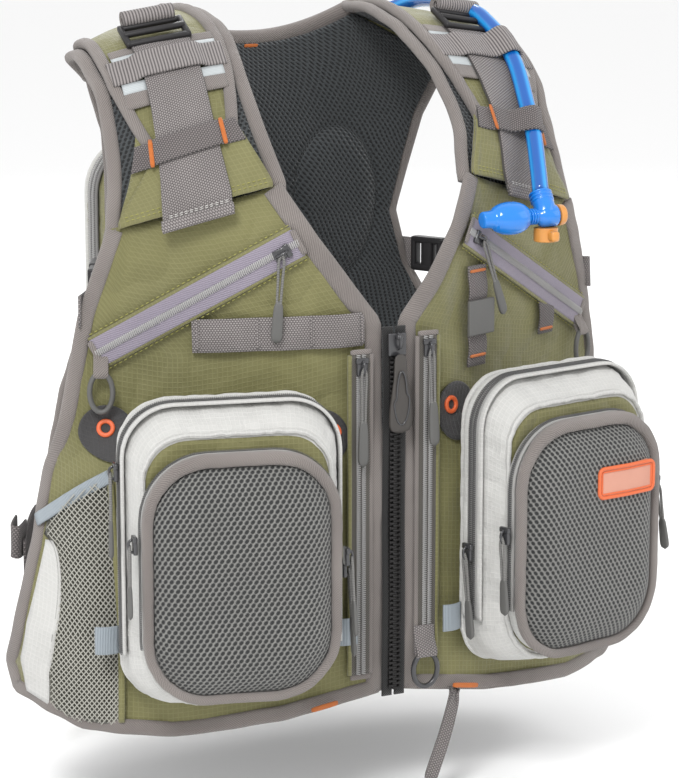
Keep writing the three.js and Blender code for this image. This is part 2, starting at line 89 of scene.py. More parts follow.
PACK_W, PACK_LOW, PACK_HIGH, PACK_Y = 250.0, 60.0, 440.0, 114.4
NET_INNER = 204.0
HOSE = [(70, 141, 400), (70, 141, 425), (72, 139, 455), (84, 134, 492), (104, 122, 520), (122, 104, 536),
        (134, 84, 545), (140, 62, 548), (143, 32, 546), (148, 0, 540), (150, -14, 534), (152, -36, 521),
        (152, -58, 502), (149, -78, 478), (145, -98, 452), (139, -115, 430), (134, -128, 412)]
HOSE_WIDTH = 13.0
SIDES = {"l": 1.0, "r": -1.0}
UP, ACROSS = np.array([0.0, 0.0, 1.0]), np.array([1.0, 0.0, 0.0])
AHEAD, BEHIND = np.array([0.0, -1.0, 0.0]), np.array([0.0, 1.0, 0.0])
BODY_MIDDLE = np.array([0.0, 30.0, 260.0])
# A stretch along the shoulder cloth's length; piece() reads it for a one-part tuple body, but nothing turns
# with it.
FOLD_BACK, FOLD_FRONT = 55.0, -30.0


def row(points):
    """Millimetres above the hem plane, to metres in the row frame."""
    p = np.array(points, float).reshape(-1, 3)
    p[:, 2] -= SHOULDER_HEIGHT
    return p * 0.001


# ---- Camera, light and floor ----
def look_along(obj, eye, target):
    obj.location = eye
    obj.rotation_euler = (target - eye).to_track_quat("-Z", "Y").to_euler()


def camera():
    azimuth, elevation, distance = math.radians(-26), math.radians(11), 2.2
    back = Vector((math.sin(azimuth) * math.cos(elevation), -math.cos(azimuth) * math.cos(elevation),
                   math.sin(elevation)))
    right = Vector((math.cos(azimuth), math.sin(azimuth), 0))
    up = back.cross(right)
    middle = Vector((0, 0, 0.258 - SHOULDER_HEIGHT * 0.001))
    data = bpy.data.cameras.new("camera")
    data.lens = 129.3
    data.sensor_width = 36
    data.clip_end = 50
    obj = bpy.data.objects.new("camera", data)
    bpy.context.collection.objects.link(obj)
    look_along(obj, middle + back * distance, middle + right * 0.0248 - up * 0.0079)
    bpy.context.scene.camera = obj


def area_light(name, place, target, size, watts):
    data = bpy.data.lights.new(name, "AREA")
    data.size = size
    data.energy = watts
    obj = bpy.data.objects.new(name, data)
    bpy.context.collection.objects.link(obj)
    look_along(obj, Vector(place), Vector(target))


def studio():
    mesh = bpy.data.meshes.new("floor")
    reach = 12
    z = cad_box[0][2] - 0.012
    corners = [(-reach, -reach, z), (reach, -reach, z), (reach, reach, z), (-reach, reach, z)]
    mesh.from_pydata(corners, [], [(0, 1, 2, 3)])
    floor = bpy.data.objects.new("floor", mesh)
    bpy.context.collection.objects.link(floor)
    paint = bpy.data.materials.new("floor")
    paint.use_nodes = True
    shader = paint.node_tree.nodes["Principled BSDF"]
    shader.inputs["Base Color"].default_value = (0.93, 0.93, 0.93, 1)
    shader.inputs["Roughness"].default_value = 0.9
    mesh.materials.append(paint)
    world = bpy.data.worlds.new("world")
    world.use_nodes = True
    sky = world.node_tree.nodes["Background"]
    sky.inputs[0].default_value = (1, 1, 1, 1)
    sky.inputs[1].default_value = 1.0
    bpy.context.scene.world = world
    bpy.context.scene.view_settings.view_transform = "Standard"
    area_light("key", (-1.7, -2.0, 2.1), (0, 0, -0.25), 1.0, 78)
    area_light("fill", (2.4, -1.6, 0.8), (0, 0, -0.25), 1.8, 8)
    area_light("rim", (0.8, 2.2, 1.6), (0, 0, -0.2), 1.2, 30)


# ---- Materials ----
class Paint:
    """A node material whose pattern runs on the piece's own UV map, which is in metres."""

    def __init__(self, name, slot, rough, sheen=0.0):
        self.material = bpy.data.materials.new(name)
        self.material.use_nodes = True
        self.material["slot"] = slot
        self.tree = self.material.node_tree
        self.shader = self.tree.nodes["Principled BSDF"]
        self.shader.inputs["Roughness"].default_value = rough
        if sheen:
            self.shader.inputs["Sheen Weight"].default_value = sheen
            self.shader.inputs["Sheen Roughness"].default_value = 0.5
        coordinates = self.tree.nodes.new("ShaderNodeTexCoord")
        self.place = coordinates.outputs["Object"]
        split = self.tree.nodes.new("ShaderNodeSeparateXYZ")
        self.tree.links.new(coordinates.outputs["UV"], split.inputs[0])
        self.uv = coordinates.outputs["UV"]
        self.u, self.v = split.outputs[0], split.outputs[1]

    def math(self, how, a, b=None, c=None):
        node = self.tree.nodes.new("ShaderNodeMath")
        node.operation = how
        for i, value in enumerate((a, b, c)):
            if value is None:
                continue
            if isinstance(value, (int, float)):
                node.inputs[i].default_value = value
            else:
                self.tree.links.new(value, node.inputs[i])
        return node.outputs[0]

    def vector(self, how, a, b=None):
        node = self.tree.nodes.new("ShaderNodeVectorMath")
        node.operation = how
        for i, value in enumerate((a, b)):
            if value is None:
                continue
            if isinstance(value, tuple):
                node.inputs[i].default_value = value
            else:
                self.tree.links.new(value, node.inputs[i])
        return node.outputs["Value"] if how in ("LENGTH", "DOT_PRODUCT") else node.outputs[0]

    def clouds(self, scale, detail=3.0, source=None):
        node = self.tree.nodes.new("ShaderNodeTexNoise")
        node.inputs["Scale"].default_value = scale
        node.inputs["Detail"].default_value = detail
        self.tree.links.new(source or self.place, node.inputs["Vector"])
        return node.outputs[0]

    def wave(self, along, length, power=1.0):
        """A ridge that repeats along a coordinate, from 0 in the groove to 1 on the crest."""
        turn = self.math("MULTIPLY", along, math.pi / length)
        crest = self.math("ABSOLUTE", self.math("COSINE", turn))
        return crest if power == 1.0 else self.math("POWER", crest, power)

    def mix(self, share, a, b):
        node = self.tree.nodes.new("ShaderNodeMix")
        node.data_type = "RGBA"
        for socket, value in ((node.inputs[0], share), (node.inputs[6], a), (node.inputs[7], b)):
            if isinstance(value, tuple):
                socket.default_value = (*value, 1)
            elif isinstance(value, (int, float)):
                socket.default_value = value
            else:
                self.tree.links.new(value, socket)
        return node.outputs[2]

    def colour(self, socket):
        if isinstance(socket, tuple):
            self.shader.inputs["Base Color"].default_value = (*socket, 1)
        else:
            self.tree.links.new(socket, self.shader.inputs["Base Color"])

    def bump(self, height, depth, under=None):
        node = self.tree.nodes.new("ShaderNodeBump")
        node.inputs["Strength"].default_value = 1.0
        node.inputs["Distance"].default_value = depth
        self.tree.links.new(height, node.inputs["Height"])
        if under is not None:
            self.tree.links.new(under, node.inputs["Normal"])
        self.tree.links.new(node.outputs[0], self.shader.inputs["Normal"])
        return node.outputs[0]


RIPSTOP = 0.0037


def ripstop(name, slot, base, thread, shade):
    """Fine plain weave with a square grid of thicker threads."""
    paint = Paint(name, slot, 0.62, sheen=0.25)
    grid = paint.math("MAXIMUM", paint.wave(paint.u, RIPSTOP, 22), paint.wave(paint.v, RIPSTOP, 22))
    weave = paint.math("MULTIPLY", paint.wave(paint.u, 0.0007), paint.wave(paint.v, 0.0007))
    worn = paint.clouds(9.0, 4.0)
    tone = paint.mix(paint.math("MULTIPLY", worn, 1.1), shade, base)
    paint.colour(paint.mix(paint.math("MULTIPLY", grid, 0.4), tone, thread))
    valleys = paint.math("ABSOLUTE", paint.math("SUBTRACT", paint.clouds(13.0, 2.0), 0.5))
    creases = paint.bump(valleys, 0.016)
    rumple = paint.bump(paint.clouds(38.0, 3.0), 0.0022, creases)
    height = paint.math("ADD", paint.math("MULTIPLY", grid, 0.8), paint.math("MULTIPLY", weave, 0.4))
    paint.bump(height, 0.00022, rumple)
    return paint.material


def twill(name, slot, base, dark):
    """Woven tape with diagonal ridges."""
    paint = Paint(name, slot, 0.85, sheen=0.2)
    ridge = paint.wave(paint.math("ADD", paint.u, paint.v), 0.0019)
    yarn = paint.wave(paint.math("SUBTRACT", paint.u, paint.v), 0.0008)
    tone = paint.mix(paint.clouds(14.0), dark, base)
    paint.colour(paint.mix(paint.math("MULTIPLY", ridge, 0.8), dark, tone))
    paint.bump(paint.math("ADD", ridge, paint.math("MULTIPLY", yarn, 0.3)), 0.0004)
    return paint.material


def webbing(name, slot, base, light, dark, pitch=0.0021):
    """Belt weave: ribs across the strap, each broken into yarn floats."""
    paint = Paint(name, slot, 0.8, sheen=0.15)
    column = paint.math("MULTIPLY", paint.u, 1 / 0.0016)
    odd = paint.math("MULTIPLY", paint.math("FLOOR", column), 0.5)
    rows = paint.math("FRACT", paint.math("ADD", paint.math("MULTIPLY", paint.v, 1 / pitch), odd))
    float_up = paint.math("SINE", paint.math("MULTIPLY", rows, math.pi))
    across = paint.math("SINE", paint.math("MULTIPLY", paint.math("FRACT", column), math.pi))
    knot = paint.math("MULTIPLY", float_up, paint.math("POWER", across, 0.6))
    tone = paint.mix(paint.clouds(20.0), base, light)
    paint.colour(paint.mix(knot, dark, tone))
    paint.bump(knot, 0.0005)
    return paint.material


def open_mesh(name, slot, yarn, hole, cell, depth, radius=0.3, slant=0.45):
    """Knitted spacer mesh: rows of holes set like bricks."""
    paint = Paint(name, slot, 0.8, sheen=0.2)
    scaled = paint.vector("MULTIPLY", paint.uv, (1 / cell, 1 / (cell * 1.5), 0))
    near = []
    for shift in ((0.0, 0.0, 0.0), (0.5, 0.5, 0.0)):
        inside = paint.vector("FRACTION", paint.vector("ADD", scaled, shift))
        centred = paint.vector("SUBTRACT", inside, (0.5, 0.5, 0.0))
        level = paint.vector("DOT_PRODUCT", centred, (1.0, slant, 0.0))
        rise = paint.vector("DOT_PRODUCT", centred, (0.0, 1.35, 0.0))
        near.append(paint.math("SQRT", paint.math("ADD", paint.math("MULTIPLY", level, level),
                                                  paint.math("MULTIPLY", rise, rise))))
    gap = paint.math("MINIMUM", near[0], near[1])
    span = paint.tree.nodes.new("ShaderNodeMapRange")
    span.inputs["From Min"].default_value = radius - 0.09
    span.inputs["From Max"].default_value = radius + 0.07
    paint.tree.links.new(gap, span.inputs["Value"])
    solid = span.outputs[0]
    tone = paint.mix(paint.clouds(25.0), tuple(c * 0.75 for c in yarn), yarn)
    paint.colour(paint.mix(solid, hole, tone))
    paint.bump(solid, depth)
    return paint.material


def ribbed(name, slot, base, dark, pitch, depth, rough=0.55, lengthwise=False):
    """Satin stitch, elastic, or ribbed webbing: plain ridges across the length, or along it."""
    paint = Paint(name, slot, rough, sheen=0.1)
    ridge = paint.wave(paint.u if lengthwise else paint.v, pitch)
    paint.colour(paint.mix(ridge, dark, base))
    paint.bump(ridge, depth)
    return paint.material


def moulded(name, slot, base, rough, coat=0.0, grain=0.00012, worn=0.12, shine=0.5):
    """Moulded plastic, rubber or metal, with a fine cast grain and faint colour variation."""
    paint = Paint(name, slot, rough)
    lighter = tuple(min(1.0, c * (1 + worn) + worn * 0.04) for c in base)
    paint.colour(paint.mix(paint.clouds(60.0, 5.0), base, lighter))
    paint.bump(paint.clouds(1800.0, 2.0), grain)
    paint.shader.inputs["Specular IOR Level"].default_value = shine
    if coat:
        paint.shader.inputs["Coat Weight"].default_value = coat
        paint.shader.inputs["Coat Roughness"].default_value = 0.12
    return paint.material


def tube(name, slot, deep, light):
    """Clear soft tube: lighter lines along it where its inner wall catches the light."""
    paint = Paint(name, slot, 0.16)
    streak = paint.wave(paint.u, 0.0102, 5)
    paint.colour(paint.mix(streak, deep, light))
    paint.bump(paint.clouds(60.0, 2.0), 0.0002)
    paint.shader.inputs["Coat Weight"].default_value = 0.6
    return paint.material


OLIVE = ripstop("olive_ripstop", "olive_ripstop", (0.190, 0.180, 0.064), (0.245, 0.232, 0.10),
                (0.105, 0.10, 0.034))
BONE = ripstop("bone_ripstop", "bone_ripstop", (0.53, 0.525, 0.505), (0.61, 0.60, 0.58), (0.41, 0.41, 0.395))
PATCH = ripstop("grey_patch", "webbing", (0.034, 0.032, 0.033), (0.048, 0.046, 0.047), (0.024, 0.023, 0.024))
TWILL = twill("twill_binding", "webbing", (0.40, 0.36, 0.335), (0.13, 0.112, 0.104))
TAPE = twill("zip_tape", "zip_tape", (0.36, 0.32, 0.385), (0.23, 0.205, 0.255))
GREY_TAPE = twill("grey_zip_tape", "zip_tape", (0.24, 0.235, 0.23), (0.12, 0.115, 0.11))
BROWN_TAPE = twill("brown_zip_tape", "zip_tape", (0.15, 0.137, 0.118), (0.06, 0.054, 0.046))
BONE_TAPE = twill("bone_zip_tape", "bone_ripstop", (0.46, 0.455, 0.44), (0.30, 0.295, 0.285))
BLACK_TAPE = twill("black_zip_tape", "black_zip", (0.014, 0.013, 0.013), (0.006, 0.006, 0.006))
WEBBING = webbing("webbing", "webbing", (0.20, 0.18, 0.175), (0.40, 0.365, 0.36), (0.05, 0.044, 0.042))
DARK_WEB = webbing("dark_webbing", "webbing", (0.15, 0.13, 0.128), (0.26, 0.23, 0.225), (0.03, 0.027, 0.027))
LINING = open_mesh("spacer_lining", "spacer_mesh", (0.047, 0.054, 0.058), (0.004, 0.005, 0.006), 0.0042,
                   0.0011)
SHELL = open_mesh("shell_mesh", "shell_mesh", (0.205, 0.203, 0.192), (0.012, 0.013, 0.013), 0.0045, 0.0013,
                  0.33)
NET_BACK = open_mesh("net_backing", "spacer_mesh", (0.10, 0.098, 0.08), (0.05, 0.048, 0.035), 0.003, 0.0004)
RIB_WEB = ribbed("ribbed_webbing", "webbing", (0.27, 0.245, 0.24), (0.05, 0.045, 0.044), 0.0024, 0.0007, 0.8,
                 lengthwise=True)
ELASTIC = ribbed("elastic_hem", "webbing", (0.33, 0.375, 0.41), (0.20, 0.23, 0.26), 0.0011, 0.0004)
CORD = ribbed("pull_cord", "grey_rubber", (0.20, 0.195, 0.185), (0.07, 0.07, 0.07), 0.0012, 0.0003)
THREAD = ribbed("orange_thread", "orange_plastic", (0.66, 0.175, 0.022), (0.30, 0.07, 0.01), 0.0009, 0.0004)
SHINE = ribbed("reflective_tape", "bone_ripstop", (0.43, 0.46, 0.47), (0.34, 0.37, 0.38), 0.0014, 0.0001)
DARK_COIL = moulded("dark_zip_coil", "zip_tape", (0.10, 0.10, 0.10), 0.4)
COIL = moulded("zip_coil", "zip_tape", (0.36, 0.355, 0.35), 0.35)
TEETH = moulded("zip_teeth", "black_zip", (0.010, 0.009, 0.009), 0.4, shine=0.3)
BLACK = moulded("black_plastic", "black_plastic", (0.016, 0.015, 0.016), 0.42, shine=0.35)
METAL = moulded("black_slider", "black_plastic", (0.03, 0.03, 0.033), 0.22, coat=0.5)
RUBBER = moulded("grey_rubber", "grey_rubber", (0.088, 0.087, 0.083), 0.55)
PULL = moulded("centre_pull_rubber", "grey_rubber", (0.042, 0.037, 0.033), 0.5)
ORANGE = moulded("orange_plastic", "orange_plastic", (0.56, 0.235, 0.045), 0.35, coat=0.3)
RING = moulded("orange_ring", "orange_plastic", (0.62, 0.11, 0.03), 0.45)
ORANGE_RUBBER = moulded("badge_orange", "orange_plastic", (0.60, 0.12, 0.035), 0.5)
PEACH = moulded("badge_face", "orange_plastic", (0.52, 0.25, 0.18), 0.6)
STITCH = moulded("olive_thread", "olive_ripstop", (0.30, 0.29, 0.075), 0.7)
PALE_STITCH = moulded("pale_thread", "bone_ripstop", (0.48, 0.47, 0.45), 0.7)
NET = moulded("net_yarn", "bone_ripstop", (0.36, 0.355, 0.315), 0.8)
TUBE = tube("blue_tube", "blue_rubber", (0.001, 0.085, 0.36), (0.02, 0.30, 0.72))
CLEAR_BLUE = moulded("clear_blue", "blue_rubber", (0.003, 0.175, 0.60), 0.14, coat=0.5, grain=0.00002)
FILM = moulded("bladder_film", "bladder_film", (0.35, 0.55, 0.75), 0.2, coat=0.4)


# ---- Mesh helpers ----
def unit(a):
    return a / np.maximum(np.linalg.norm(a, axis=-1, keepdims=True), 1e-9)


def distances(p, axis=0):
    """Distance along rows of points, starting from 0."""
    steps = np.linalg.norm(np.diff(p, axis=axis), axis=-1).cumsum(axis=axis)
    return np.concatenate([np.zeros_like(np.take(steps, [0], axis)), steps], axis)


def read_off(at, along, q):
    """Rows of q interpolated at distances along it."""
    return np.stack([np.interp(at, along, q[:, k]) for k in range(q.shape[1])], -1)


def link(name, points, faces, uvs):
    mesh = bpy.data.meshes.new(name)
    mesh.from_pydata(row(points).tolist(), [], faces)
    layer = mesh.uv_layers.new(name="UVMap")
    layer.data.foreach_set("uv", np.array(uvs, np.float32).ravel() * 0.001)
    mesh.polygons.foreach_set("use_smooth", [True] * len(faces))
    mesh.update()
    obj = bpy.data.objects.new(name, mesh)
    bpy.context.collection.objects.link(obj)
    return obj


def piece(obj, material, body, *nodes):
    """Gives a mesh its material and body. A body given as a tuple, such as ("front_l",), is not attached to
    any body: the mesh only has its placement baked in, and nothing bends it.
    """
    obj.data.materials.append(material)
    if isinstance(body, str):
        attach(obj, body)
    else:
        start, end = (body[1], body[2]) if len(body) == 3 else ((0, FOLD_BACK, 0), (0, FOLD_FRONT, 0))
        tuple(row(start)[0])
        tuple(row(end)[0])
        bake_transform(obj)
    if nodes:
        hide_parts(*nodes)
    return obj


def grid_faces(columns, rows, offset=0, flip=False):
    i, j = np.meshgrid(np.arange(columns), np.arange(rows))
    a = offset + j.ravel() * (columns + 1) + i.ravel()
    quads = np.stack([a, a + 1, a + columns + 2, a + columns + 1], 1)
    return quads[:, ::-1] if flip else quads


def sheet(name, p, thick):
    """A cloth plate: p is a grid of points on its outer face, rows by columns."""
    rows, columns = p.shape[0] - 1, p.shape[1] - 1
    n = unit(np.cross(np.gradient(p, axis=1), np.gradient(p, axis=0)))
    turned = ((p - BODY_MIDDLE) * n).sum() <= 0
    inner = p - (-n if turned else n) * thick
    points = np.concatenate([p.reshape(-1, 3), inner.reshape(-1, 3)])
    size = (rows + 1) * (columns + 1)
    uv = np.stack([distances(p, 1), distances(p, 0)], 2).reshape(-1, 2)
    ids = np.arange(size).reshape(rows + 1, columns + 1)
    a = np.concatenate([ids[:-1, 0], ids[-1, :-1], ids[:0:-1, -1], ids[0, :0:-1]])
    b = np.roll(a, -1)
    side = np.stack([a, b, b + size, a + size], 1)
    faces = np.concatenate([grid_faces(columns, rows, 0, turned), grid_faces(columns, rows, size, not turned),
                            side[:, ::-1] if turned else side])
    return link(name, points, faces.tolist(), np.concatenate([uv, uv])[faces.ravel()])


def sweep(name, p, n, section, closed=False, taper=None):
    """Carries a closed section of (across, out) offsets along points p with outward normal or normals n."""
    p, section = np.array(p, float), np.array(section, float)
    t = unit(np.roll(p, -1, 0) - np.roll(p, 1, 0) if closed else np.gradient(p, axis=0))
    b = unit(np.cross(t, np.array(n, float)))
    n = np.cross(b, t)
    scale = (np.ones(len(p)) if taper is None else np.array(taper))[:, None, None]
    rings = p[:, None] + b[:, None] * section[:, 0:1] * scale + n[:, None] * section[:, 1:2] * scale
    count, around = len(p), len(section)
    u, v = distances(np.concatenate([section, section[:1]])), distances(p)
    if closed:
        v = np.append(v, v[-1] + np.linalg.norm(p[0] - p[-1]))
    faces, uvs = [], []
    for j in range(count if closed else count - 1):
        k = (j + 1) % count
        for i in range(around):
            m = (i + 1) % around
            faces.append((j * around + i, j * around + m, k * around + m, k * around + i))
            uvs += [(u[i], v[j]), (u[i + 1], v[j]), (u[i + 1], v[j + 1]), (u[i], v[j + 1])]
    if not closed:
        last = (count - 1) * around
        faces += [tuple(range(around - 1, -1, -1)), tuple(range(last, last + around))]
        uvs += [tuple(q + (0, v[0])) for q in section[::-1]] + [tuple(q + (0, v[-1])) for q in section]
    return link(name, rings.reshape(-1, 3), faces, uvs)


def strip(name, p, n, section, material, body, *nodes, **how):
    """A finished piece swept along a path."""
    return piece(sweep(name, p, n, section, **how), material, body, *nodes)


def cloth(name, p, thick, material, body, *nodes):
    """A finished sheet."""
    return piece(sheet(name, p, thick), material, body, *nodes)


def circle(radius, count=10):
    turn = np.linspace(0, 2 * math.pi, count, endpoint=False)
    return np.stack([np.cos(turn), np.sin(turn)], 1) * radius


def hoop(centre, right, up, wide, high, count):
    """Points round an ellipse in space."""
    turn = np.linspace(0, 2 * math.pi, count, endpoint=False)
    return centre + right * (np.cos(turn) * wide)[:, None] + up * (np.sin(turn) * high)[:, None]


def oval(width, thick, across=0.0, out=0.0, power=2.6, count=14):
    """A squarish oval section, centred off the path by (across, out)."""
    c, s = circle(1.0, count).T
    x = np.sign(c) * np.abs(c) ** (2 / power) * width / 2
    y = np.sign(s) * np.abs(s) ** (2 / power) * thick / 2
    return np.stack([x + across, y + out], 1)


def flat_section(width, thick, rise=0.0):
    """A strap's section, centred on its path: flat faces and round edges."""
    w, t = width / 2, thick / 2
    e = min(t, 1.2)
    points = []
    x, y = w - e, t - e
    for cx, cy, start in ((x, y, 0), (-x, y, 90), (-x, -y, 180), (x, -y, 270)):
        for k in range(3):
            a = math.radians(start + 45 * k)
            points.append((cx + e * math.cos(a), cy + e * math.sin(a) + rise))
        if cy > 0 and start == 0 or cy < 0 and start == 180:
            side = 1 if start == 0 else -1
            points += [(side * x * share, side * t + rise) for share in (0.5, 0.0, -0.5)]
    return np.array(points)


def resample(points, step):
    """Evenly spaced points along a polyline."""
    p = np.array(points, float)
    along = distances(p)
    return read_off(np.linspace(0, along[-1], max(2, int(round(along[-1] / step)) + 1)), along, p)


def spline(points, count=8):
    """A smooth curve through the points."""
    p = np.array(points, float)
    q = np.concatenate([[2 * p[0] - p[1]], p, [2 * p[-1] - p[-2]]])
    t = np.linspace(0, 1, count, endpoint=False)[:, None]
    runs = [0.5 * (2 * b + (c - a) * t + (2 * a - 5 * b + 4 * c - d) * t ** 2
                   + (3 * b - a - 3 * c + d) * t ** 3)
            for a, b, c, d in zip(q, q[1:], q[2:], q[3:])]
    return np.concatenate(runs + [p[-1:]])


def rounded(points, radius=10.0, count=5):
    """The polyline with its corners cut to arcs."""
    p = [np.array(q, float) for q in points]
    run = [p[0]]
    for a, b, c in zip(p, p[1:], p[2:]):
        la, lc = np.linalg.norm(a - b), np.linalg.norm(c - b)
        r = min(radius, la * 0.45, lc * 0.45)
        start, end = b + (a - b) / la * r, b + (c - b) / lc * r
        run += [(1 - t) ** 2 * start + 2 * t * (1 - t) * b + t ** 2 * end for t in np.linspace(0, 1, count)]
    return np.array(run + [p[-1]])


def group(name, parts, material, body, *nodes):
    """Joins meshes made here into one finished piece."""
    bpy.ops.object.select_all(action="DESELECT")
    for part in parts:
        part.select_set(True)
    bpy.context.view_layer.objects.active = parts[0]
    bpy.ops.object.join()
    parts[0].name = name
    parts[0].data.name = name
    return piece(parts[0], material, body, *nodes)


def soft_box(name, centre, axes, size, soft=0.25, cuts=2):
    """A block with rounded edges, from its centre, its three axes and its size."""
    shape = bmesh.new()
    bmesh.ops.create_cube(shape, size=1.0)
    for v in shape.verts:
        v.co = Vector((v.co.x * size[0], v.co.y * size[1], v.co.z * size[2]))
    bmesh.ops.bevel(shape, geom=list(shape.edges), offset=min(size) * soft, segments=cuts, profile=0.6,
                    affect="EDGES")
    shape.verts.index_update()
    flat = np.array([tuple(v.co) for v in shape.verts])
    faces = [tuple(v.index for v in f.verts) for f in shape.faces]
    shape.free()
    uvs = [(flat[i][0], flat[i][2] + flat[i][1]) for f in faces for i in f]
    return link(name, flat @ np.array(axes, float) + np.array(centre), faces, uvs)


def stitches(name, p, n, material, body, length, gap, radius):
    """A line of thread stitches lying on a surface."""
    p = np.array(p, float)
    along = distances(p)
    starts = np.arange(0.4, along[-1] - length, length + gap)
    a, b = read_off(starts, along, p), read_off(starts + length, along, p)
    out = unit(read_off(starts, along, np.broadcast_to(np.array(n, float), p.shape)))
    side = np.cross(unit(b - a), out)
    points, faces, uvs = [], [], []
    profile = ((0.0, 0.25), (0.15, 0.9), (0.5, 1.0), (0.85, 0.9), (1.0, 0.25))
    for i in range(len(starts)):
        base = len(points)
        for share, fat in profile:
            middle = a[i] + (b[i] - a[i]) * share + out[i] * (radius * (fat - 0.7))
            for k in range(5):
                turn = 2 * math.pi * k / 5
                points.append(middle + (side[i] * math.cos(turn) + out[i] * math.sin(turn)) * radius * fat)
        for j in range(len(profile) - 1):
            for k in range(5):
                m = (k + 1) % 5
                q = base + j * 5
                faces.append((q + k, q + m, q + 5 + m, q + 5 + k))
                uvs += [(k, j), (k + 1, j), (k + 1, j + 1), (k, j + 1)]
        faces += [tuple(range(base + 4, base - 1, -1)), tuple(range(base + 20, base + 25))]
        uvs += [(0, 0)] * 10
    return piece(link(name, points, faces, uvs), material, body)


def coil(name, p, n, width, material, body):
    """A nylon zip coil: a flattened helix along the tape."""
    height, pitch, wire = 1.3, 1.5, 0.42
    n = np.broadcast_to(np.array(n, float), np.shape(p))
    p = resample(p, 1.0)
    along = distances(p)
    s = np.linspace(0, along[-1], int(along[-1] / pitch * 8))
    at = read_off(s, along, p)
    n = read_off(along, np.linspace(0, along[-1], len(n)), n)
    out = unit(read_off(s, along, n))
    side = unit(np.cross(unit(np.gradient(at, axis=0)), out))
    phase = (2 * math.pi * s / pitch)[:, None]
    line = at + side * (np.cos(phase) * width / 2) + out * ((np.sin(phase) * 0.5 + 0.5) * height)
    strip(name, line, out, circle(wire, 5), material, body)


def loft(name, rings, uv=None):
    """Closed rings one after another, with both ends closed."""
    rings = np.array(rings)
    count, around = rings.shape[:2]
    points = rings.reshape(-1, 3)
    if uv is None:
        u = distances(np.concatenate([rings, rings[:, :1]], 1), 1).max(axis=0)
        v = np.concatenate([[0], np.linalg.norm(np.diff(rings, axis=0), axis=2).mean(axis=1).cumsum()])
        at = lambda j, i: (u[i], v[j])
    else:
        at = lambda j, i: tuple(uv[j][i % around])
    faces, uvs = [], []
    for j in range(count - 1):
        for i in range(around):
            m = (i + 1) % around
            faces.append((j * around + i, j * around + m, (j + 1) * around + m, (j + 1) * around + i))
            uvs.append([at(j, i), at(j, i + 1), at(j + 1, i + 1), at(j + 1, i)])
    for j in (0, count - 1):
        order = range(around - 1, -1, -1) if j == 0 else range(around)
        faces.append(tuple(j * around + i for i in order))
        uvs.append([at(j, i) for i in order])
    p = np.array([points[list(f)] for f in faces[:-2]])
    if (np.cross(p[:, 1] - p[:, 0], p[:, 3] - p[:, 0]) * (p.mean(1) - points.mean(0))).sum() < 0:
        faces = [f[::-1] for f in faces]
        uvs = [q[::-1] for q in uvs]
    return link(name, points, faces, [q for face in uvs for q in face])


def turned(name, centre, axis, profile, around=28):
    """A lathed solid: profile is (radius, distance along the axis)."""
    axis = unit(np.array(axis, float))
    side = unit(np.cross(axis, (0.31, 0.5, 0.81)))
    other = np.cross(axis, side)
    return loft(name, [hoop(np.array(centre) + axis * along, side, other, radius, radius, around)
                       for radius, along in profile])


def tack(name, centre, along, out, length, body, width=3.4, material=THREAD):
    """A dense bar of satin stitches."""
    along, out = unit(np.array(along, float)), unit(np.array(out, float))
    p = np.array(centre) + along * np.linspace(-length / 2, length / 2, 9)[:, None]
    taper = [0.75, 1, 1, 1, 1, 1, 1, 1, 0.75]
    strip(name, p, out, oval(width, 1.5), material, body, taper=taper)


# ---- Surfaces ----
def table(points, at):
    xs, ys = zip(*points)
    return np.interp(at, xs, ys)


def half_width(z):
    rise = np.clip((z - 105) / 200, 0, 1)
    drop = np.clip((105 - z) / 105, 0, 1)
    return 272 - 46 * rise * (1.35 - 0.35 * rise) - 10 * drop ** 2


def front_depth(x, z):
    share = np.minimum(np.abs(x) / half_width(z), 0.985)
    belly = -BELLY_DEPTH * (1 - share ** BELLY_POWER) ** (1 / BELLY_POWER)
    past = CHEST_SOFT * np.log(1 + np.exp((x - CHEST_FLAT) / CHEST_SOFT))
    chest = -CHEST_DEPTH + CHEST_SLOPE * past + 0.25 * np.maximum(0, z - 395)
    t = np.clip((z - CHEST_FROM) / (CHEST_TO - CHEST_FROM), 0, 1)
    mix = t * t * (3 - 2 * t)
    return belly * (1 - mix) + chest * mix


def front(side, x, z, lift=0.0):
    """Points on a front panel's outer face and the normals there."""
    x, z = np.broadcast_arrays(np.array(x, float), np.array(z, float))
    e = 2.0
    dx = (front_depth(x + e, z) - front_depth(x - e, z)) / (2 * e)
    dz = (front_depth(x, z + e) - front_depth(x, z - e)) / (2 * e)
    n = unit(np.stack([side * dx, -np.ones_like(x), dz], -1))
    return np.stack([side * x, front_depth(x, z), z], -1) + n * lift, n


def on_chest(side, x, z, lift=0.0):
    """A point on the flat of the chest and the normal there."""
    n = unit(np.array([side * CHEST_SLOPE, -1.0, 0.0]))
    return np.array([side * x, -CHEST_DEPTH + CHEST_SLOPE * (x - CHEST_FLAT) - 0.8, z]) + n * lift, n


def chest_level(side):
    """The level direction across the flat of the chest, outwards."""
    return unit(np.array([side, CHEST_SLOPE, 0.0]))


def pad_edges(side, v):
    at = np.concatenate([[-0.2], np.linspace(0, 1, 6 * 12 + 1)])
    edges = ((spline(PAD_INNER, 12), (4, -14, -44)), (spline(PAD_OUTER, 12), (2, -12, -46)))
    return [read_off(v, at, np.concatenate([q[:1] + below, q]) * (side, 1, 1)) for q, below in edges]


def pad(side, u, v, lift=0.0):
    """Points on a shoulder pad, u from the neck side out and v from the chest up and over, with normals."""
    u, v = np.broadcast_arrays(np.array(u, float), np.array(v, float))
    inner, outer = pad_edges(side, v)
    ahead = pad_edges(side, np.minimum(v + 0.012, 1))
    behind = pad_edges(side, v - 0.012)
    share = u[..., None]
    along = (ahead[0] - behind[0]) * (1 - share) + (ahead[1] - behind[1]) * share
    n = unit(np.cross(outer - inner, along) * side)
    crown = PAD_CROWN * (1 - (2 * u - 1) ** 2)
    return inner * (1 - share) + outer * share + n * (crown + lift)[..., None], n


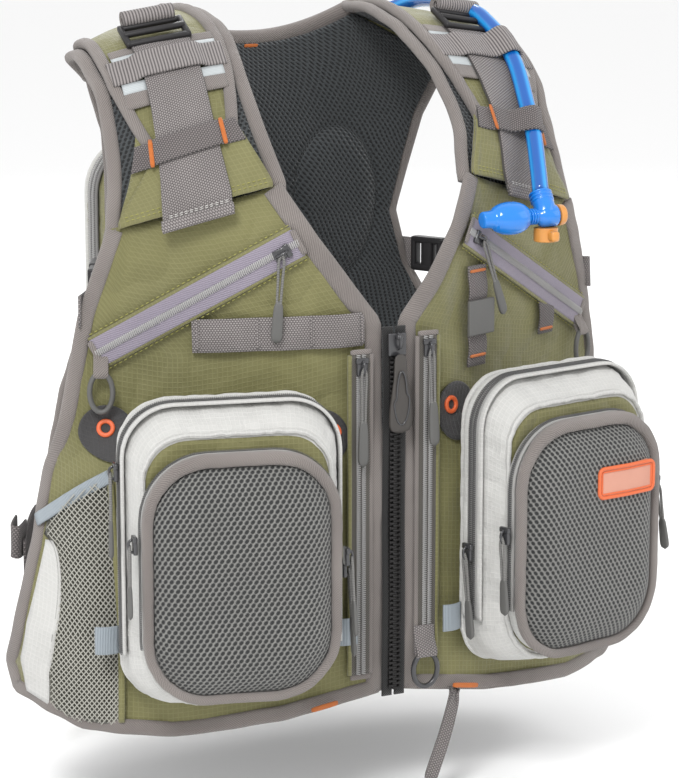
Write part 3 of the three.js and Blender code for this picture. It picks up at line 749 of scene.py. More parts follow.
def back(across, z):
    """Points on the back panel's outer face and the normals there; across runs from -1 to 1."""
    across, z = np.broadcast_arrays(np.array(across, float), np.array(z, float))
    y = lambda a: BACK_DEPTH - (BACK_DEPTH - table(BACK_WRAP, z)) * np.abs(a) ** 2.5
    width = table(BACK_EDGE, z)
    e = 0.02
    dx = (y(across + e) - y(across - e)) / (2 * e * width)
    n = unit(np.stack([-dx, np.ones_like(dx), np.zeros_like(dx)], -1))
    return np.stack([across * width, y(across), z], -1), n


def folds(p, size, seed, sharp=0.0):
    """Soft cloth folds over points, about -1 to 1; sharp adds creases."""
    chance = np.random.default_rng(seed)
    total = np.zeros(p.shape[:-1])
    for _ in range(7):
        way = chance.normal(size=3)
        way /= np.linalg.norm(way)
        wave = np.sin(p @ way / (size * chance.uniform(0.5, 1.3)) * 2 * math.pi + chance.uniform(0, 6.3))
        total += (1 - sharp) * wave + sharp * (1 - 2 * np.sqrt(np.abs(wave)))
    return total / 3.5


def rumpled(p, n, amount, size, seed, sharp=0.0):
    """The points moved along their normals by soft folds."""
    return p + n * (folds(p, size, seed, sharp) * amount)[..., None]


# ---- Zip pulls and tapes ----
def zip_pull(name, seat, out, along, drop, parked=None):
    """A slider, the cord loop through it and the tab on its end, on its own body or parked on another."""
    body, nodes = (parked, ()) if parked else (name, (name,))
    seat, out, drop = np.array(seat, float), unit(np.array(out, float)), np.array(drop, float)
    along = unit(np.array(along, float))
    out = unit(out - along * (out @ along))
    side = np.cross(along, out)
    axes = (side, along, out)
    base = soft_box(name + "_base", seat + out * 0.4, axes, (8.6, 13, 3.2), 0.32)
    nose = soft_box(name + "_nose", seat + along * 4.6 + out * 0.7, axes, (10.4, 4.6, 3.4), 0.35)
    arch = [seat + along * a + out * b for a, b in ((-5, 1.6), (-4.2, 3.8), (-1, 5), (2.6, 4.6), (4.6, 2.2))]
    bridge = sweep(name + "_bridge", spline(arch, 4), side, circle(1.1, 8))
    group(name, [base, nose, bridge], METAL, body, *nodes)

    down = unit(drop)
    flat = unit(out - down * (out @ down))
    width = np.cross(down, flat)
    length = np.linalg.norm(drop)
    start = seat + out * 4.2
    half = [(6, 1.9), (length * 0.3, 1.6), (length * 0.58, 1.2)]
    lap = [(0, 0), *half, (length * 0.6, 0), *((a, -b) for a, b in half[::-1]), (0, 0)]
    p = spline([start + down * a + width * b for a, b in lap], 5)[:-1]
    strip(name + "_cord", p, flat, circle(1.05, 8), CORD, body, closed=True)

    t = np.linspace(0, 1, 15)
    p = start + down * (length * (0.52 + 0.48 * t))[:, None]
    taper = np.clip(np.sqrt(np.clip(1 - (2 * t - 1) ** 6, 0, 1)), 0.12, 1) * (0.72 + 0.28 * t)
    strip(name + "_tab", p, flat, oval(9.2, 3.6, power=3.4, count=18), RUBBER, body, taper=taper)


def zip_strip(name, p, out, width, body, material, *nodes, coil_width=5.2, rows=(0.0,), lift=0.0,
              thread=COIL):
    """Zip tape with its coil or coils along a path."""
    strip(name, p + out * lift, out, oval(width, 1.8, 0, 0.2, 5, 16), material, body, *nodes)
    side = unit(np.cross(unit(np.gradient(p, axis=0)), out))
    for i, row_at in enumerate(rows):
        coil(f"{name}_coil_{i}", p + side * row_at + out * (lift + 0.9), out, coil_width, thread, body)
    return side


# ---- Front panels ----
def panel_points(side, us, vs, lift=0.0):
    """Points of a front panel on the grid of us (neck edge to armhole edge) and vs (hem to yoke)."""
    u, v = np.meshgrid(us, vs)
    z = table(HEM_LINE, u) * (1 - v) + table(YOKE_LINE, u) * v
    return front(side, table(NECK_EDGE, z) * (1 - u) + table(ARM_EDGE, z) * u, z, lift)


def front_panel(tag, side):
    body = "front_" + tag
    us = np.linspace(0.01, 0.995, 62)
    p, n = panel_points(side, us, np.linspace(0.006, 1, 84))
    calm = np.minimum(1, 6 * np.minimum(us, 1 - us))[:, None]
    puff = folds(p, 120, 4, 0.3) * 1.6 + folds(p * (1, 1, 0.45), 42, 9, 0.6) * 1.5 - 1.0
    p = p + n * np.clip(puff, -3.2, 0.8)[..., None] * calm
    cloth("front_panel_" + tag, p, 2.2, OLIVE, body, "front_panel_" + tag)
    inner, _ = panel_points(side, np.linspace(0.03, 0.97, 20), np.linspace(0.02, 0.985, 26), -7.5)
    cloth("front_lining_" + tag, inner, 1.6, LINING, body)

    hem, _ = panel_points(side, np.linspace(0, 1, 60), [0.0])
    arm, _ = panel_points(side, [1.0], np.linspace(0, 1, 80))
    neck, _ = panel_points(side, [0.0], np.linspace(1, 0, 80))
    hem_to_arm = rounded(np.concatenate([hem[0], arm[1:, 0]]), 14, 4)
    for edge, line, across, width in (("hem", hem_to_arm, -4.0, 12), ("neck", neck[:, 0], -3.2, 15)):
        line = resample(line, 5)
        _, out = front(side, np.abs(line[:, 0]), line[:, 2])
        section = oval(width, 5.6, across * side, -1.5)
        strip(f"{edge}_binding_{tag}", rumpled(line, out, 0.7, 26, 3), out, section, TWILL, body)


# ---- Shoulders ----
def pad_strip(name, side, across, along, thick, lift, columns, material, body, *nodes, sag=0.0):
    """Cloth on the pad between two shares across it and two along it."""
    vs = np.linspace(*along, max(3, int((along[1] - along[0]) / 0.006)))
    p, n = pad(side, np.linspace(*across, columns), vs[:, None], lift)
    cloth(name, rumpled(p, n, sag, 30, 12, 0.3), thick, material, body, *nodes)


def pad_reach(v):
    """How far the padded part comes towards the strap at its front end, inner and outer."""
    narrow = (1 - np.clip((v - 0.15) / 0.22, 0, 1)) ** 1.5
    return 0.06 + 0.12 * narrow, 0.94 - 0.26 * narrow


def skirt_edges(v):
    """Inner and outer edges of the cloth between the strap and the front panel."""
    taper = 0.012 + 0.13 * np.clip(v / 0.24, 0, 1) ** 1.2
    return taper, 1 - taper * 1.1


def shoulder(tag, side):
    body = "front_" + tag
    fold = (body,)
    vs = np.linspace(-0.03, 1, 94)[:, None]
    base, _ = pad(side, np.linspace(0, 1, 26), vs, -5.4 - 6 * np.clip((0.07 - vs) / 0.1, 0, 1))
    cloth("pad_lining_" + tag, base, 3.2, LINING, fold)

    us, vs = np.linspace(0, 1, 24), np.linspace(0.15, 1, 90)[:, None]
    low, high = pad_reach(vs)
    top, n = pad(side, low * (1 - us) + high * us, vs)
    puff = 2.0 * (1 - np.abs(2 * us - 1) ** 4)
    top = top + n * (puff - 1.0 + 0.6 * folds(top, 40, 5, 0.4))[..., None]
    whole = cloth("shoulder_pad_" + tag, top, 5.2, OLIVE, fold, "shoulder_pad_" + tag, "shoulder_back_" + tag)
    us, vs = np.linspace(0, 1, 20), np.linspace(-0.01, 0.3, 34)[:, None]
    low, high = skirt_edges(vs)
    skirt, n = pad(side, low * (1 - us) + high * us, vs, 0.4)
    cloth("pad_skirt_" + tag, rumpled(skirt, n, 0.9, 26, 31, 0.4), 2.4, OLIVE, body)

    binding_v, roll_v = np.linspace(-0.03, 1, 110), np.linspace(0.155, 1, 100)
    for i, (edge, across) in enumerate((("inner", -3.0), ("outer", 3.0))):
        p, out = pad(side, i, binding_v, -6.0)
        binding = oval(11, 8, across * side)
        strip(f"pad_binding_{edge}_{tag}", rumpled(p, out, 0.6, 30, 8), out, binding, TWILL, fold)
        p, out = pad(side, pad_reach(roll_v)[i], roll_v, -0.6)
        strip(f"pad_roll_{edge}_{tag}", rumpled(p, out, 0.5, 24, 18, 0.3), out, oval(9.4, 8.4), TWILL, fold)

    lift = 2.9
    us, vs = np.linspace(0, 1, 26), np.linspace(-0.015, 0.165, 30)[:, None]
    squeeze = np.clip(vs / 0.165, 0, 1) ** 1.3
    flap, n = pad(side, (0.01 + 0.08 * squeeze) * (1 - us) + (0.99 - 0.24 * squeeze) * us, vs, lift)
    cloth("yoke_" + tag, rumpled(flap, n, 0.7, 34, 12, 0.4), 2.2, OLIVE, body, "yoke_" + tag)
    for share in (0.0, 0.012):
        p, out = pad(side, np.linspace(0.04, 0.96, 40), share, lift + 0.3)
        stitches(f"yoke_stitch_{tag}_{int(share * 1000)}", p, out, STITCH, body, 2.4, 1.6, 0.3)

    pad_strip("load_strap_" + tag, side, (0.27, 0.71), (-0.055, 0.5), 2.0, lift + 2.6, 16, WEBBING, fold,
              "load_strap_" + tag, sag=0.25)
    for i, share in enumerate((-0.062, -0.052, -0.042)):
        p, out = pad(side, np.linspace(0.262, 0.718, 20), share, lift + 3.4)
        strip(f"strap_fold_{tag}_{i}", p, out, oval(4.6, 3.6), WEBBING, body)
    for share in (-0.03, -0.024):
        p, out = pad(side, np.linspace(0.29, 0.69, 20), share, lift + 4.9)
        stitches(f"strap_stitch_{tag}_{int(-share * 1000)}", p, out, PALE_STITCH, body, 2.6, 1.2, 0.32)
    for edge, across in (("in", (0.09, 0.275)), ("out", (0.705, 0.89))):
        for part, along, fabric in (("low", (0.322, 0.352), SHINE), ("foot", (0.284, 0.322), TWILL),
                                    ("high", (0.440, 0.462), SHINE), ("head", (0.462, 0.50), TWILL)):
            pad_strip(f"reflector_{edge}_{part}_{tag}", side, across, along, 1.2, 3.4, 8, fabric, fold)

    over_strap("strap_keeper_" + tag, side, skirt_edges, (0.140, 0.202), 8.5, 4.2, DARK_WEB, body,
               (0.52, 0.8, 24.0))
    for i, share in enumerate((0.225, 0.755)):
        p, out = pad(side, share, [0.171, 0.183], 7.4)
        tack(f"keeper_tack_{tag}_{i}", p[0], p[1] - p[0], out[0], 21, body)
    over_strap("shoulder_band_" + tag, side, lambda v: (0.05, 0.95), (0.352, 0.440), 8.3, 4.6, RIB_WEB, fold,
               (0.667, 0.0, 20.4))
    shoulder_lock(tag, side, fold)


def over_strap(name, side, edges, rows, high, low, material, body, hose_pass):
    """A band across the shoulder, raised over the load strap and, on the left, over the hose."""
    share, v = np.meshgrid(np.linspace(0, 1, 64), np.linspace(*rows, 12))
    first, last = edges(v)
    u = first * (1 - share) + last * share
    on_strap = 1 / (1 + np.exp((0.235 - u) / 0.014)) / (1 + np.exp((u - 0.75) / 0.014))
    lift = low + (high - low) * on_strap
    if side > 0:
        middle, lean, top = hose_pass
        hump = np.exp(-(np.abs(u - middle - lean * (v - rows[0])) / 0.105) ** 3)
        lift = lift + (top - lift) * hump
    p, n = pad(side, u, v, lift)
    cloth(name, rumpled(p, n, 0.35, 30, 3), 1.8, material, body, name)


def shoulder_lock(tag, side, fold):
    """The ladder lock on top of the shoulder, with the strap's rolled tail across it."""
    (centre, ahead, beside), _ = pad(side, [0.5, 0.5, 0.7], [0.54, 0.5, 0.54], 6.0)
    along, wide = unit(ahead - centre), unit(beside - centre)
    wide = unit(wide - along * (wide @ along))
    out = np.cross(wide, along) * side
    out = out if out[2] > 0 else -out
    axes = (wide, along, out)
    parts = [soft_box(f"lock_{i}", centre + along * i * 11 + out * (1.5 * (i == 0)), axes, (48, 5, 4.4), 0.4)
             for i in (-1, 0, 1)]
    parts += [soft_box(f"cheek_{i}", centre + wide * i * 23, axes, (4.6, 27, 4.8), 0.4) for i in (-1, 1)]
    group("ladder_lock_" + tag, parts, BLACK, fold)
    turn = np.linspace(0, 5.5 * math.pi, 60)[:, None]
    spin = along * np.cos(turn) + out * np.sin(turn)
    p = centre - along * 17 + out * 3.0 + spin * (1.6 + turn * 0.26)
    strip("strap_roll_" + tag, p, spin, flat_section(40, 1.5, 0.75), RIB_WEB, fold)


# ---- Chest zips, straps and buckles ----
def diagonal_zip(tag, side):
    body = "front_" + tag
    top, n = on_chest(side, 70, 388, 1.9)
    foot, _ = on_chest(side, 205, 307, 1.9)
    p = resample([top, foot], 5)
    across = zip_strip("diagonal_zip_" + tag, p, n, 22, body, TAPE, "diagonal_zip_" + tag, lift=0.3)
    for i, at in enumerate((-11.6, 11.6)):
        strip(f"diagonal_lip_{tag}_{i}", p + across * at, n, oval(3.0, 2.2, 0, -0.2), OLIVE, body)
        line = p + across * (at * 1.24) - n * 0.5
        stitches(f"diagonal_stitch_{tag}_{i}", line, n, STITCH, body, 2.4, 1.9, 0.34)
    for i, end in enumerate((top, foot)):
        tack(f"diagonal_end_{tag}_{i}", end + n * 1.4, across[0], n, 20, body, 4.4, TWILL)
    seat, _ = on_chest(side, 81, 380, 3.6)
    lean = math.radians(24 if side > 0 else 4)
    level = chest_level(side)
    drop = (level * math.sin(lean) - UP * math.cos(lean)) * 66
    zip_pull("diagonal_slider_" + tag, seat, n, unit(top - foot), drop)
    name = "chest_ring_" + tag
    ring = hoop(on_chest(side, 202, 279, 7.4)[0], level, UP, 8.4, 14.6, 32)
    strip(name, ring, n, circle(2.0, 10), RUBBER, name, name, closed=True)
    hang = [on_chest(side, 202, z, d)[0] for z, d in ((312, 1.6), (302, 3.4), (294, 9), (290, 7), (300, 1.2))]
    p = spline(hang, 4)
    out = unit(np.cross(np.gradient(p, axis=0), level))
    strip("ring_tab_" + tag, p, out, flat_section(11, 1.4), TWILL, body)


def flap_zip(tag, side):
    body = "front_" + tag
    raised = 10 if side > 0 else 0
    p = resample([(side * 28, -145.2, 304 + raised), (side * 28, -145.2, 60 + raised)], 5)
    name = "flap_zip_" + tag
    zip_strip(name, p, AHEAD, 17, body, BROWN_TAPE, name, coil_width=3.2, rows=(-2.2, 2.2))
    for i, (at, fabric) in enumerate(((-8.8 * side, TWILL), (8.8 * side, OLIVE))):
        strip(f"flap_welt_{tag}_{i}", p + (at, -0.2, 0), AHEAD, oval(3.4, 2.6), fabric, body)
    for i, z in enumerate((306 + raised, 58 + raised)):
        tack(f"flap_end_{tag}_{i}", (side * 28, -146.2, z), ACROSS, AHEAD, 17, body, 4, TWILL)
    zip_pull("flap_slider_" + tag, (side * 28, -147.6, 295 + raised), AHEAD, UP, (side * 2, -2, -74))


def centre_zip(tag, side):
    body = "front_" + tag
    p = resample([(side * 5.2, -145.4, ZIP_BOTTOM - 6), (side * 5.2, -145.4, ZIP_TOP + 2)], 4)
    p[:, 1] += np.sin(p[:, 2] / 23) * 0.5
    strip("centre_zip_" + tag, p, AHEAD, oval(8.6, 1.8, 0, 0, 5), BLACK_TAPE, body, "centre_zip_" + tag)
    teeth = []
    for z in np.arange(ZIP_BOTTOM, ZIP_TOP - 12, 3.6) + (1.8 if side < 0 else 0):
        teeth.append(soft_box("tooth", (side * 0.9, -147.2, z), np.eye(3), (5.6, 2.9, 2.1), 0.3, 1))
        teeth.append(soft_box("root", (side * 3.9, -146.8, z), np.eye(3), (1.8, 3.6, 2.9), 0.3, 1))
    group("zip_teeth_" + tag, teeth, TEETH, body)


def centre_pull():
    axes = np.eye(3)
    plates = [soft_box("slider_front", (0, -149.6, ZIP_TOP - 11), axes, (14.6, 3.2, 17), 0.4, 3),
              soft_box("slider_back", (0, -144.2, ZIP_TOP - 11), axes, (13, 2.0, 15), 0.4),
              soft_box("slider_lug", (0, -153.4, ZIP_TOP - 5), axes, (5, 5.6, 4), 0.4)]
    arch = [(0, y, ZIP_TOP - drop)
            for y, drop in ((-151, 3), (-155.4, 4), (-156.4, 8), (-155, 12), (-151, 14))]
    plates.append(sweep("slider_arch", spline(arch, 5), ACROSS, circle(1.4, 8)))
    group("centre_slider", plates, METAL, "centre_slider", "centre_slider")
    t = np.linspace(0, 1, 33)
    p = np.stack([0 * t, -155.4 - 0.6 * np.sin(t * 3), ZIP_TOP - 17.5 - 59 * t], 1)
    half = np.interp(t, (0, 0.02, 0.08, 0.3, 0.7, 0.9, 0.97, 1), (0.2, 0.42, 0.52, 0.6, 0.98, 1.0, 0.8, 0.25))
    section = oval(19, 4.2, power=3.4, count=20)
    strip("centre_pull", p, AHEAD, section, PULL, "centre_pull", "centre_pull", taper=half)
    wide = np.where(circle(1.0, 36)[:, 1] > 0, 4.2, 6.4)
    rim = hoop(np.array([0, -157.9, ZIP_TOP - 50]), ACROSS, UP, wide, 20, 36)
    strip("centre_pull_rim", rim, AHEAD, circle(0.7, 6), METAL, "centre_pull", closed=True)


def buckle(tag, side):
    """Side-release buckle on the back wing, its webbing and the waist strap."""
    body = "front_" + tag
    start, end = np.array([side * 136, 98, 338.0]), np.array([side * 214, -60, 338.0])
    at = lambda share: start + (end - start) * np.asarray(share)[..., None]
    along = unit(end - start)
    out = unit(np.cross(UP, along) * -side)
    axes = (along, out, UP)
    size = np.linalg.norm(end - start)
    halves = (("buckle_body_", "back", 0.155, (size * 0.18, 9, 6), ((0.075, 5), (0.15, 12), (0.225, 7)),
               (8.6, 28)),
              ("buckle_clip_", "buckle_clip_" + tag, 0.318, (size * 0.12, 6.6, 4.5),
               ((0.268, 5), (0.325, 5), (0.368, 5)), (7, 27)))
    for name, rider, middle, rail_size, bars, bar_size in halves:
        parts = [soft_box("rail", at(middle) + UP * i * 11.5, axes, rail_size, 0.4, 3) for i in (-1, 1)]
        parts += [soft_box("bar", at(share), axes, (width, *bar_size), 0.35, 3) for share, width in bars]
        group(name + tag, parts, BLACK, rider, name + tag)
    t = np.linspace(0.385, 1.04, 40)
    sag = np.sin((t - 0.36) / 0.68 * math.pi)[:, None]
    p = at(t) + out * sag * 3 - UP * sag * 2
    fold = (body, at(0.44), at(0.62))
    strip("side_web_" + tag, p, out, flat_section(24, 1.8), WEBBING, fold, "side_web_" + tag)
    wing = spline([at(0.06), at(-0.02), at(-0.12) + out * 2], 6)
    strip("wing_web_" + tag, wing, out, flat_section(25, 1.8), WEBBING, "back")
    keeper = at(np.linspace(0.40, 0.50, 12)) + out * 2.4
    strip("web_keeper_" + tag, keeper, out, flat_section(26, 1.6), DARK_WEB, "buckle_clip_" + tag)

    belt = [(205, 66, 152), (214, 50, 152), (226, 26, 151), (240, -6, 150), (250, -30, 150)]
    tail = [(240, -6, 160), (249, -22, 161), (255, -31, 162), (259, -29, 163), (255, -20, 164),
            (248, -8, 165)]
    fold = (body, (side * 214, 52, 152), (side * 240, -8, 150))
    strap = "waist_strap_" + tag
    for name, points, count, rider, nodes in ((strap, belt, 8, fold, (strap,)),
                                              ("waist_tail_" + tag, tail, 6, body, ())):
        p = spline(np.array(points) * (side, 1, 1), count)
        out = unit(np.cross(UP, np.gradient(p, axis=0)) * -side)
        strip(name, p, out, flat_section(25, 2), DARK_WEB, rider, *nodes)


# ---- Chest packs ----
def bag(side, a, d, z):
    """A point in a chest pack's own frame: a outward along the pack, d away from the body."""
    c, s = math.cos(POCKET_TURN), math.sin(POCKET_TURN)
    a, d, z = np.broadcast_arrays(np.array(a, float), np.array(d, float), np.array(z, float))
    return np.stack([side * (POCKET_X + a * c + d * s), POCKET_Y + a * s - d * c, z], -1)


def bag_out(side):
    return np.array([side * math.sin(POCKET_TURN), -math.cos(POCKET_TURN), 0.0])


def bag_across(side):
    return np.array([side * math.cos(POCKET_TURN), math.sin(POCKET_TURN), 0.0])


def rectangle(width, low, high, corner, step=4.0, count=None, foot=None):
    """A rounded rectangle in (across, height), from the middle of its foot, with its outward normals."""
    w = width / 2
    lap = [(0, low)]
    for right, top, start in ((1, 0, -90), (1, 1, 0), (-1, 1, 90), (-1, 0, 180)):
        r = corner if top or foot is None else foot
        cx, cz = right * (w - r), high - r if top else low + r
        for k in range(9):
            a = math.radians(start + 90 * k / 8)
            lap.append((cx + r * math.cos(a), cz + r * math.sin(a)))
    lap.append((0, low))
    if count:
        step = distances(np.array(lap, float))[-1] / count
    points = resample(lap, step)[:-1]
    t = unit(np.roll(points, -1, 0) - np.roll(points, 1, 0))
    return points, np.stack([t[:, 1], -t[:, 0]], 1)


def bag_ring(place, outline, depth, swell=0.0):
    """The outline at a depth, pushed out by swell."""
    points, normals = outline
    q = points + normals * np.broadcast_to(swell, len(points))[:, None]
    return place(q[:, 0], depth, q[:, 1])


def ring_path(place, outline, depth, proud=0.0):
    """A path round the outline with its outward normals."""
    p = bag_ring(place, outline, depth, proud)
    return p, unit(bag_ring(place, outline, depth, proud + 5) - p)


def between(wide, narrow, share):
    """An outline part of the way from one to another with as many points."""
    return wide[0] * (1 - share) + narrow[0] * share, unit(wide[1] * (1 - share) + narrow[1] * share)


def bag_body(name, place, wide, narrow, low, high, seed, puff, soft, gather=0.0):
    """A gusset from its wide back outline to its narrow front one, with cloth folds and round rims."""
    rings = []
    for depth in np.concatenate([[low, low + 0.8], np.linspace(low + 2, high - 2, 15), [high - 0.8, high]]):
        share = (depth - low) / (high - low)
        outline = between(wide, narrow, share ** 1.7)
        rim = soft * max(0, 1 - min(share, 1 - share) * (high - low) / 4.0) ** 2
        base = bag_ring(place, outline, depth)
        crease = folds(base * (1, 1, 1.4), 26, seed, 0.55)
        pucker = gather * share ** 3 * np.minimum(0, folds(base * (1, 0.2, 1), 9, seed + 50, 0.6))
        swell = puff * (0.6 * math.sin(math.pi * share) + 0.55 * crease) - 0.6 + pucker
        rings.append(bag_ring(place, outline, depth, swell - rim))
    return loft(name, rings)


def cap(name, place, outline, steps, heights, edge, wrinkle, folding, spread_weave=False):
    """A front panel: rings drawn in to the middle, rounded over its edge, with a mild crown.

    steps is (count, power, last share), heights is (foot, low, high, crown), edge is (width, power) of
    the rounding and wrinkle is (depth, distance from the edge at which it is full).
    """
    points = outline[0]
    centre = np.array([0.0, (points[:, 1].max() + points[:, 1].min()) / 2])
    reach = np.abs(points[:, 0]).max()
    shares = np.concatenate([[1, 1], 1 - np.linspace(0, 1, steps[0])[1:-1] ** steps[1], [steps[2]]])
    foot, low, high, crown = heights
    inset = (1 - shares) * reach
    rise = 1 - np.maximum(0, 1 - inset / edge[0]) ** edge[1]
    depths = low + (high - low) * rise + crown * (1 - shares ** 2)
    depths[0] = foot
    spread = np.ones(len(shares))
    if spread_weave:
        runs = np.hypot(np.diff(shares) * reach, np.diff(depths))
        spread = (np.append(runs[::-1].cumsum()[::-1], 0) + shares[-1] * reach) / (shares * reach)
    rings, uv = [], []
    for k, depth, drawn_in, wide in zip(shares, depths, inset, spread):
        q = centre + (points - centre) * k
        bump = folds(place(q[:, 0], depth, q[:, 1]), *folding) * wrinkle[0] * min(1, drawn_in / wrinkle[1])
        rings.append(place(q[:, 0], depth + bump, q[:, 1]))
        uv.append(centre + (q - centre) * wide)
    return loft(name, rings, uv)


def bag_face(name, place, outline, low, high, rise_over, crown, seed, wrinkle):
    """A stretched cloth front with a planar weave."""
    return cap(name, place, outline, (34, 1.6, 0.012), (low - 2.5, low, high, crown), (rise_over, 2.4),
               (wrinkle, 6), (34, seed, 0.5))


def shell_dome(name, place, outline, low, high):
    """The moulded mesh cover: steep soft sides and a slightly crowned face."""
    return cap(name, place, outline, (40, 1.5, 0.01), (low - 3, low, high - 1.6, 1.6), (26.0, 2.6),
               (0.35, 10), (60, 3), spread_weave=True)


def zip_path(place, outline, depth, proud, from_height):
    """The part of a path round the outline that stands above a height, where its zip runs."""
    path, out = ring_path(place, outline, depth, proud)
    keep = path[:, 2] > from_height
    return path[keep], out[keep]


def chest_pack(tag, side):
    body = "front_" + tag
    place = lambda a, d, z: bag(side, a, d, z)
    around = 190
    left = side > 0
    wide = rectangle(POCKET_W - 4, POCKET_LOW + 2, POCKET_HIGH - 2, 36, count=around)
    narrow = rectangle(POCKET_W - 19, POCKET_LOW + 6, POCKET_HIGH - 19, 34, count=around, foot=46)
    piece(bag_body("pocket_" + tag, place, wide, narrow, 0, 42, 11 + left, 2.2, 3.0, 1.0), BONE, body,
          "pocket_" + tag)
    front_line = rectangle(POCKET_W - 25, POCKET_LOW + 9, POCKET_HIGH - 22.5, 32, count=around, foot=44)
    piece(bag_face("pocket_face_" + tag, place, front_line, 38, 43.8, 6, 0, 21 + left, 0.7), OLIVE, body)
    p, out = ring_path(place, wide, 2.5, -1.4)
    p = rumpled(p, out, 0.7, 22, 31, 0.4)
    strip("pocket_piping_" + tag, p, out, circle(2.2, 8), BONE, body, closed=True)
    seam = rectangle(POCKET_W - 20, POCKET_LOW + 6.5, POCKET_HIGH - 20, 34, foot=46)
    p, out = ring_path(place, seam, 42.6, -0.8)
    drawn_in, ahead = folds(p, 11, 37, 0.5) * 1.1 - 1.6, folds(p, 9, 38, 0.4) * 0.5 + 0.3
    p = p + out * drawn_in[:, None] + bag_out(side) * ahead[:, None]
    strip("pocket_seam_" + tag, p, out, circle(1.9, 8), BONE, body, closed=True)

    p, out = zip_path(place, between(wide, narrow, (16 / 42) ** 1.7), 16, 0.9, POCKET_LOW + 40)
    across = zip_strip("pocket_zip_" + tag, p, out, 13, body, BONE_TAPE, coil_width=3.0, rows=(-2.1, 2.1),
                       lift=0.6, thread=DARK_COIL)
    for i, at in enumerate((-7.8, 7.8)):
        lip = p + across * at + out * 0.4
        strip(f"pocket_welt_{tag}_{i}", lip, out, oval(5.2, 2.6, 0, 0.4), BONE, body)

    rim = rectangle(SHELL_W - 9, SHELL_LOW + 4, SHELL_HIGH - 4, SHELL_CORNER, count=around)
    piece(bag_body("shell_gusset_" + tag, place, rim, rim, 42, 55.5, 5 + left, 0.8, 1.0), BONE, body)
    p, out = zip_path(place, rim, 48.5, 0.6, SHELL_LOW + 44)
    zip_strip("shell_zip_" + tag, p, out, 8, body, BONE_TAPE, coil_width=3.2, lift=0.2, thread=DARK_COIL)
    p, out = ring_path(place, rectangle(SHELL_W - 10, SHELL_LOW + 5, SHELL_HIGH - 5, SHELL_CORNER), 57)
    fat = np.interp(p[:, 2], (SHELL_LOW, SHELL_HIGH - 30, SHELL_HIGH), (0.85, 1.0, 1.25))
    strip("shell_binding_" + tag, rumpled(p, out, 0.5, 18, 6, 0.4), out, oval(8.5, 8.4, 0, -1.0), TWILL, body,
          closed=True, taper=fat)
    dome = rectangle(SHELL_W - 21, SHELL_LOW + 10.5, SHELL_HIGH - 12, SHELL_CORNER - 6)
    name = "moulded_shell_" + tag
    piece(shell_dome(name, place, dome, 58, 70.6), SHELL, body, name)

    # The moving slider stands on the inner side; a second, parked one closes each zip from the outer side.
    pulls = (("pocket", POCKET_W / 2, 16, (150, 65, 10), (232, 62)),
             ("shell", SHELL_W / 2, 50, (168, 59, 6), (186, 52)))
    for kind, reach, depth, (z, length, lean), _ in pulls:
        drop = -UP * length - bag_across(side) * 1.5 + bag_out(side) * lean
        zip_pull(f"{kind}_slider_{tag}", place(-reach - 2.6, depth, z), -bag_across(side), UP, drop)
    for kind, reach, depth, _, (z, length) in pulls:
        drop = -UP * length + bag_across(side) * 1.5 + bag_out(side) * 8
        zip_pull(f"{kind}_spare_{tag}", place(reach + 1.2, depth, z), bag_across(side), UP, drop, body)

    t = np.linspace(-1, 1, 9)[:, None]
    for i, (a, depth, z) in enumerate(((-1, 3.5, 98), (1, 5, 105))):
        seat = place(a * (POCKET_W / 2 + 8), depth, z)
        p = seat + bag_across(side) * (t * 8.5) + bag_out(side) * (2.4 * (1 - t ** 2))
        strip(f"pocket_tab_{tag}_{i}", p, bag_out(side), flat_section(21, 1.8), ELASTIC, body)


def badge(side=1.0):
    """The blank rubber badge with its raised orange rim."""
    place = lambda a, d, z: bag(side, a + 26, d - 0.055 * np.abs(a), z)
    plate = rectangle(58, 188, 212, 5, 2.0)
    middle = np.array([0.0, 200.0])
    rings = []
    for depth, share in ((66, 1), (71.8, 1), (72.3, 0.97), (72.3, 0.5), (72.3, 0.03)):
        q = middle + (plate[0] - middle) * share
        rings.append(place(q[:, 0], depth, q[:, 1]))
    piece(loft("badge_face", rings), PEACH, "front_l")
    for i, (inset, radius) in enumerate(((0.8, 1.5), (3.4, 0.8))):
        line, _ = ring_path(place, plate, 72.2, -inset)
        strip(f"badge_rim_{i}", line, bag_out(side), circle(radius, 8), ORANGE_RUBBER, "front_l", closed=True)


# ---- Net pocket and pale side strips ----
def gusset_width(z):
    """Width of the pale strip beside the armhole edge at a height."""
    return 15 * np.sin(np.clip((z - 26) / 144, 0, 1) * math.pi) ** 0.5


def net_outer(z):
    """Outer edge of the net pocket on the panel, as a distance from the middle."""
    return table(ARM_EDGE, z) - 5.0 - gusset_width(z)


def panel_hem(x):
    """Height of the panel's hem at a distance from the middle."""
    return table(HEM_LINE, (x - NECK_EDGE[0][1]) / (ARM_EDGE[1][1] - NECK_EDGE[0][1]))


def elastic_height(x):
    return 218 - 0.62 * (x - NET_INNER) - 0.0085 * (x - NET_INNER) ** 2


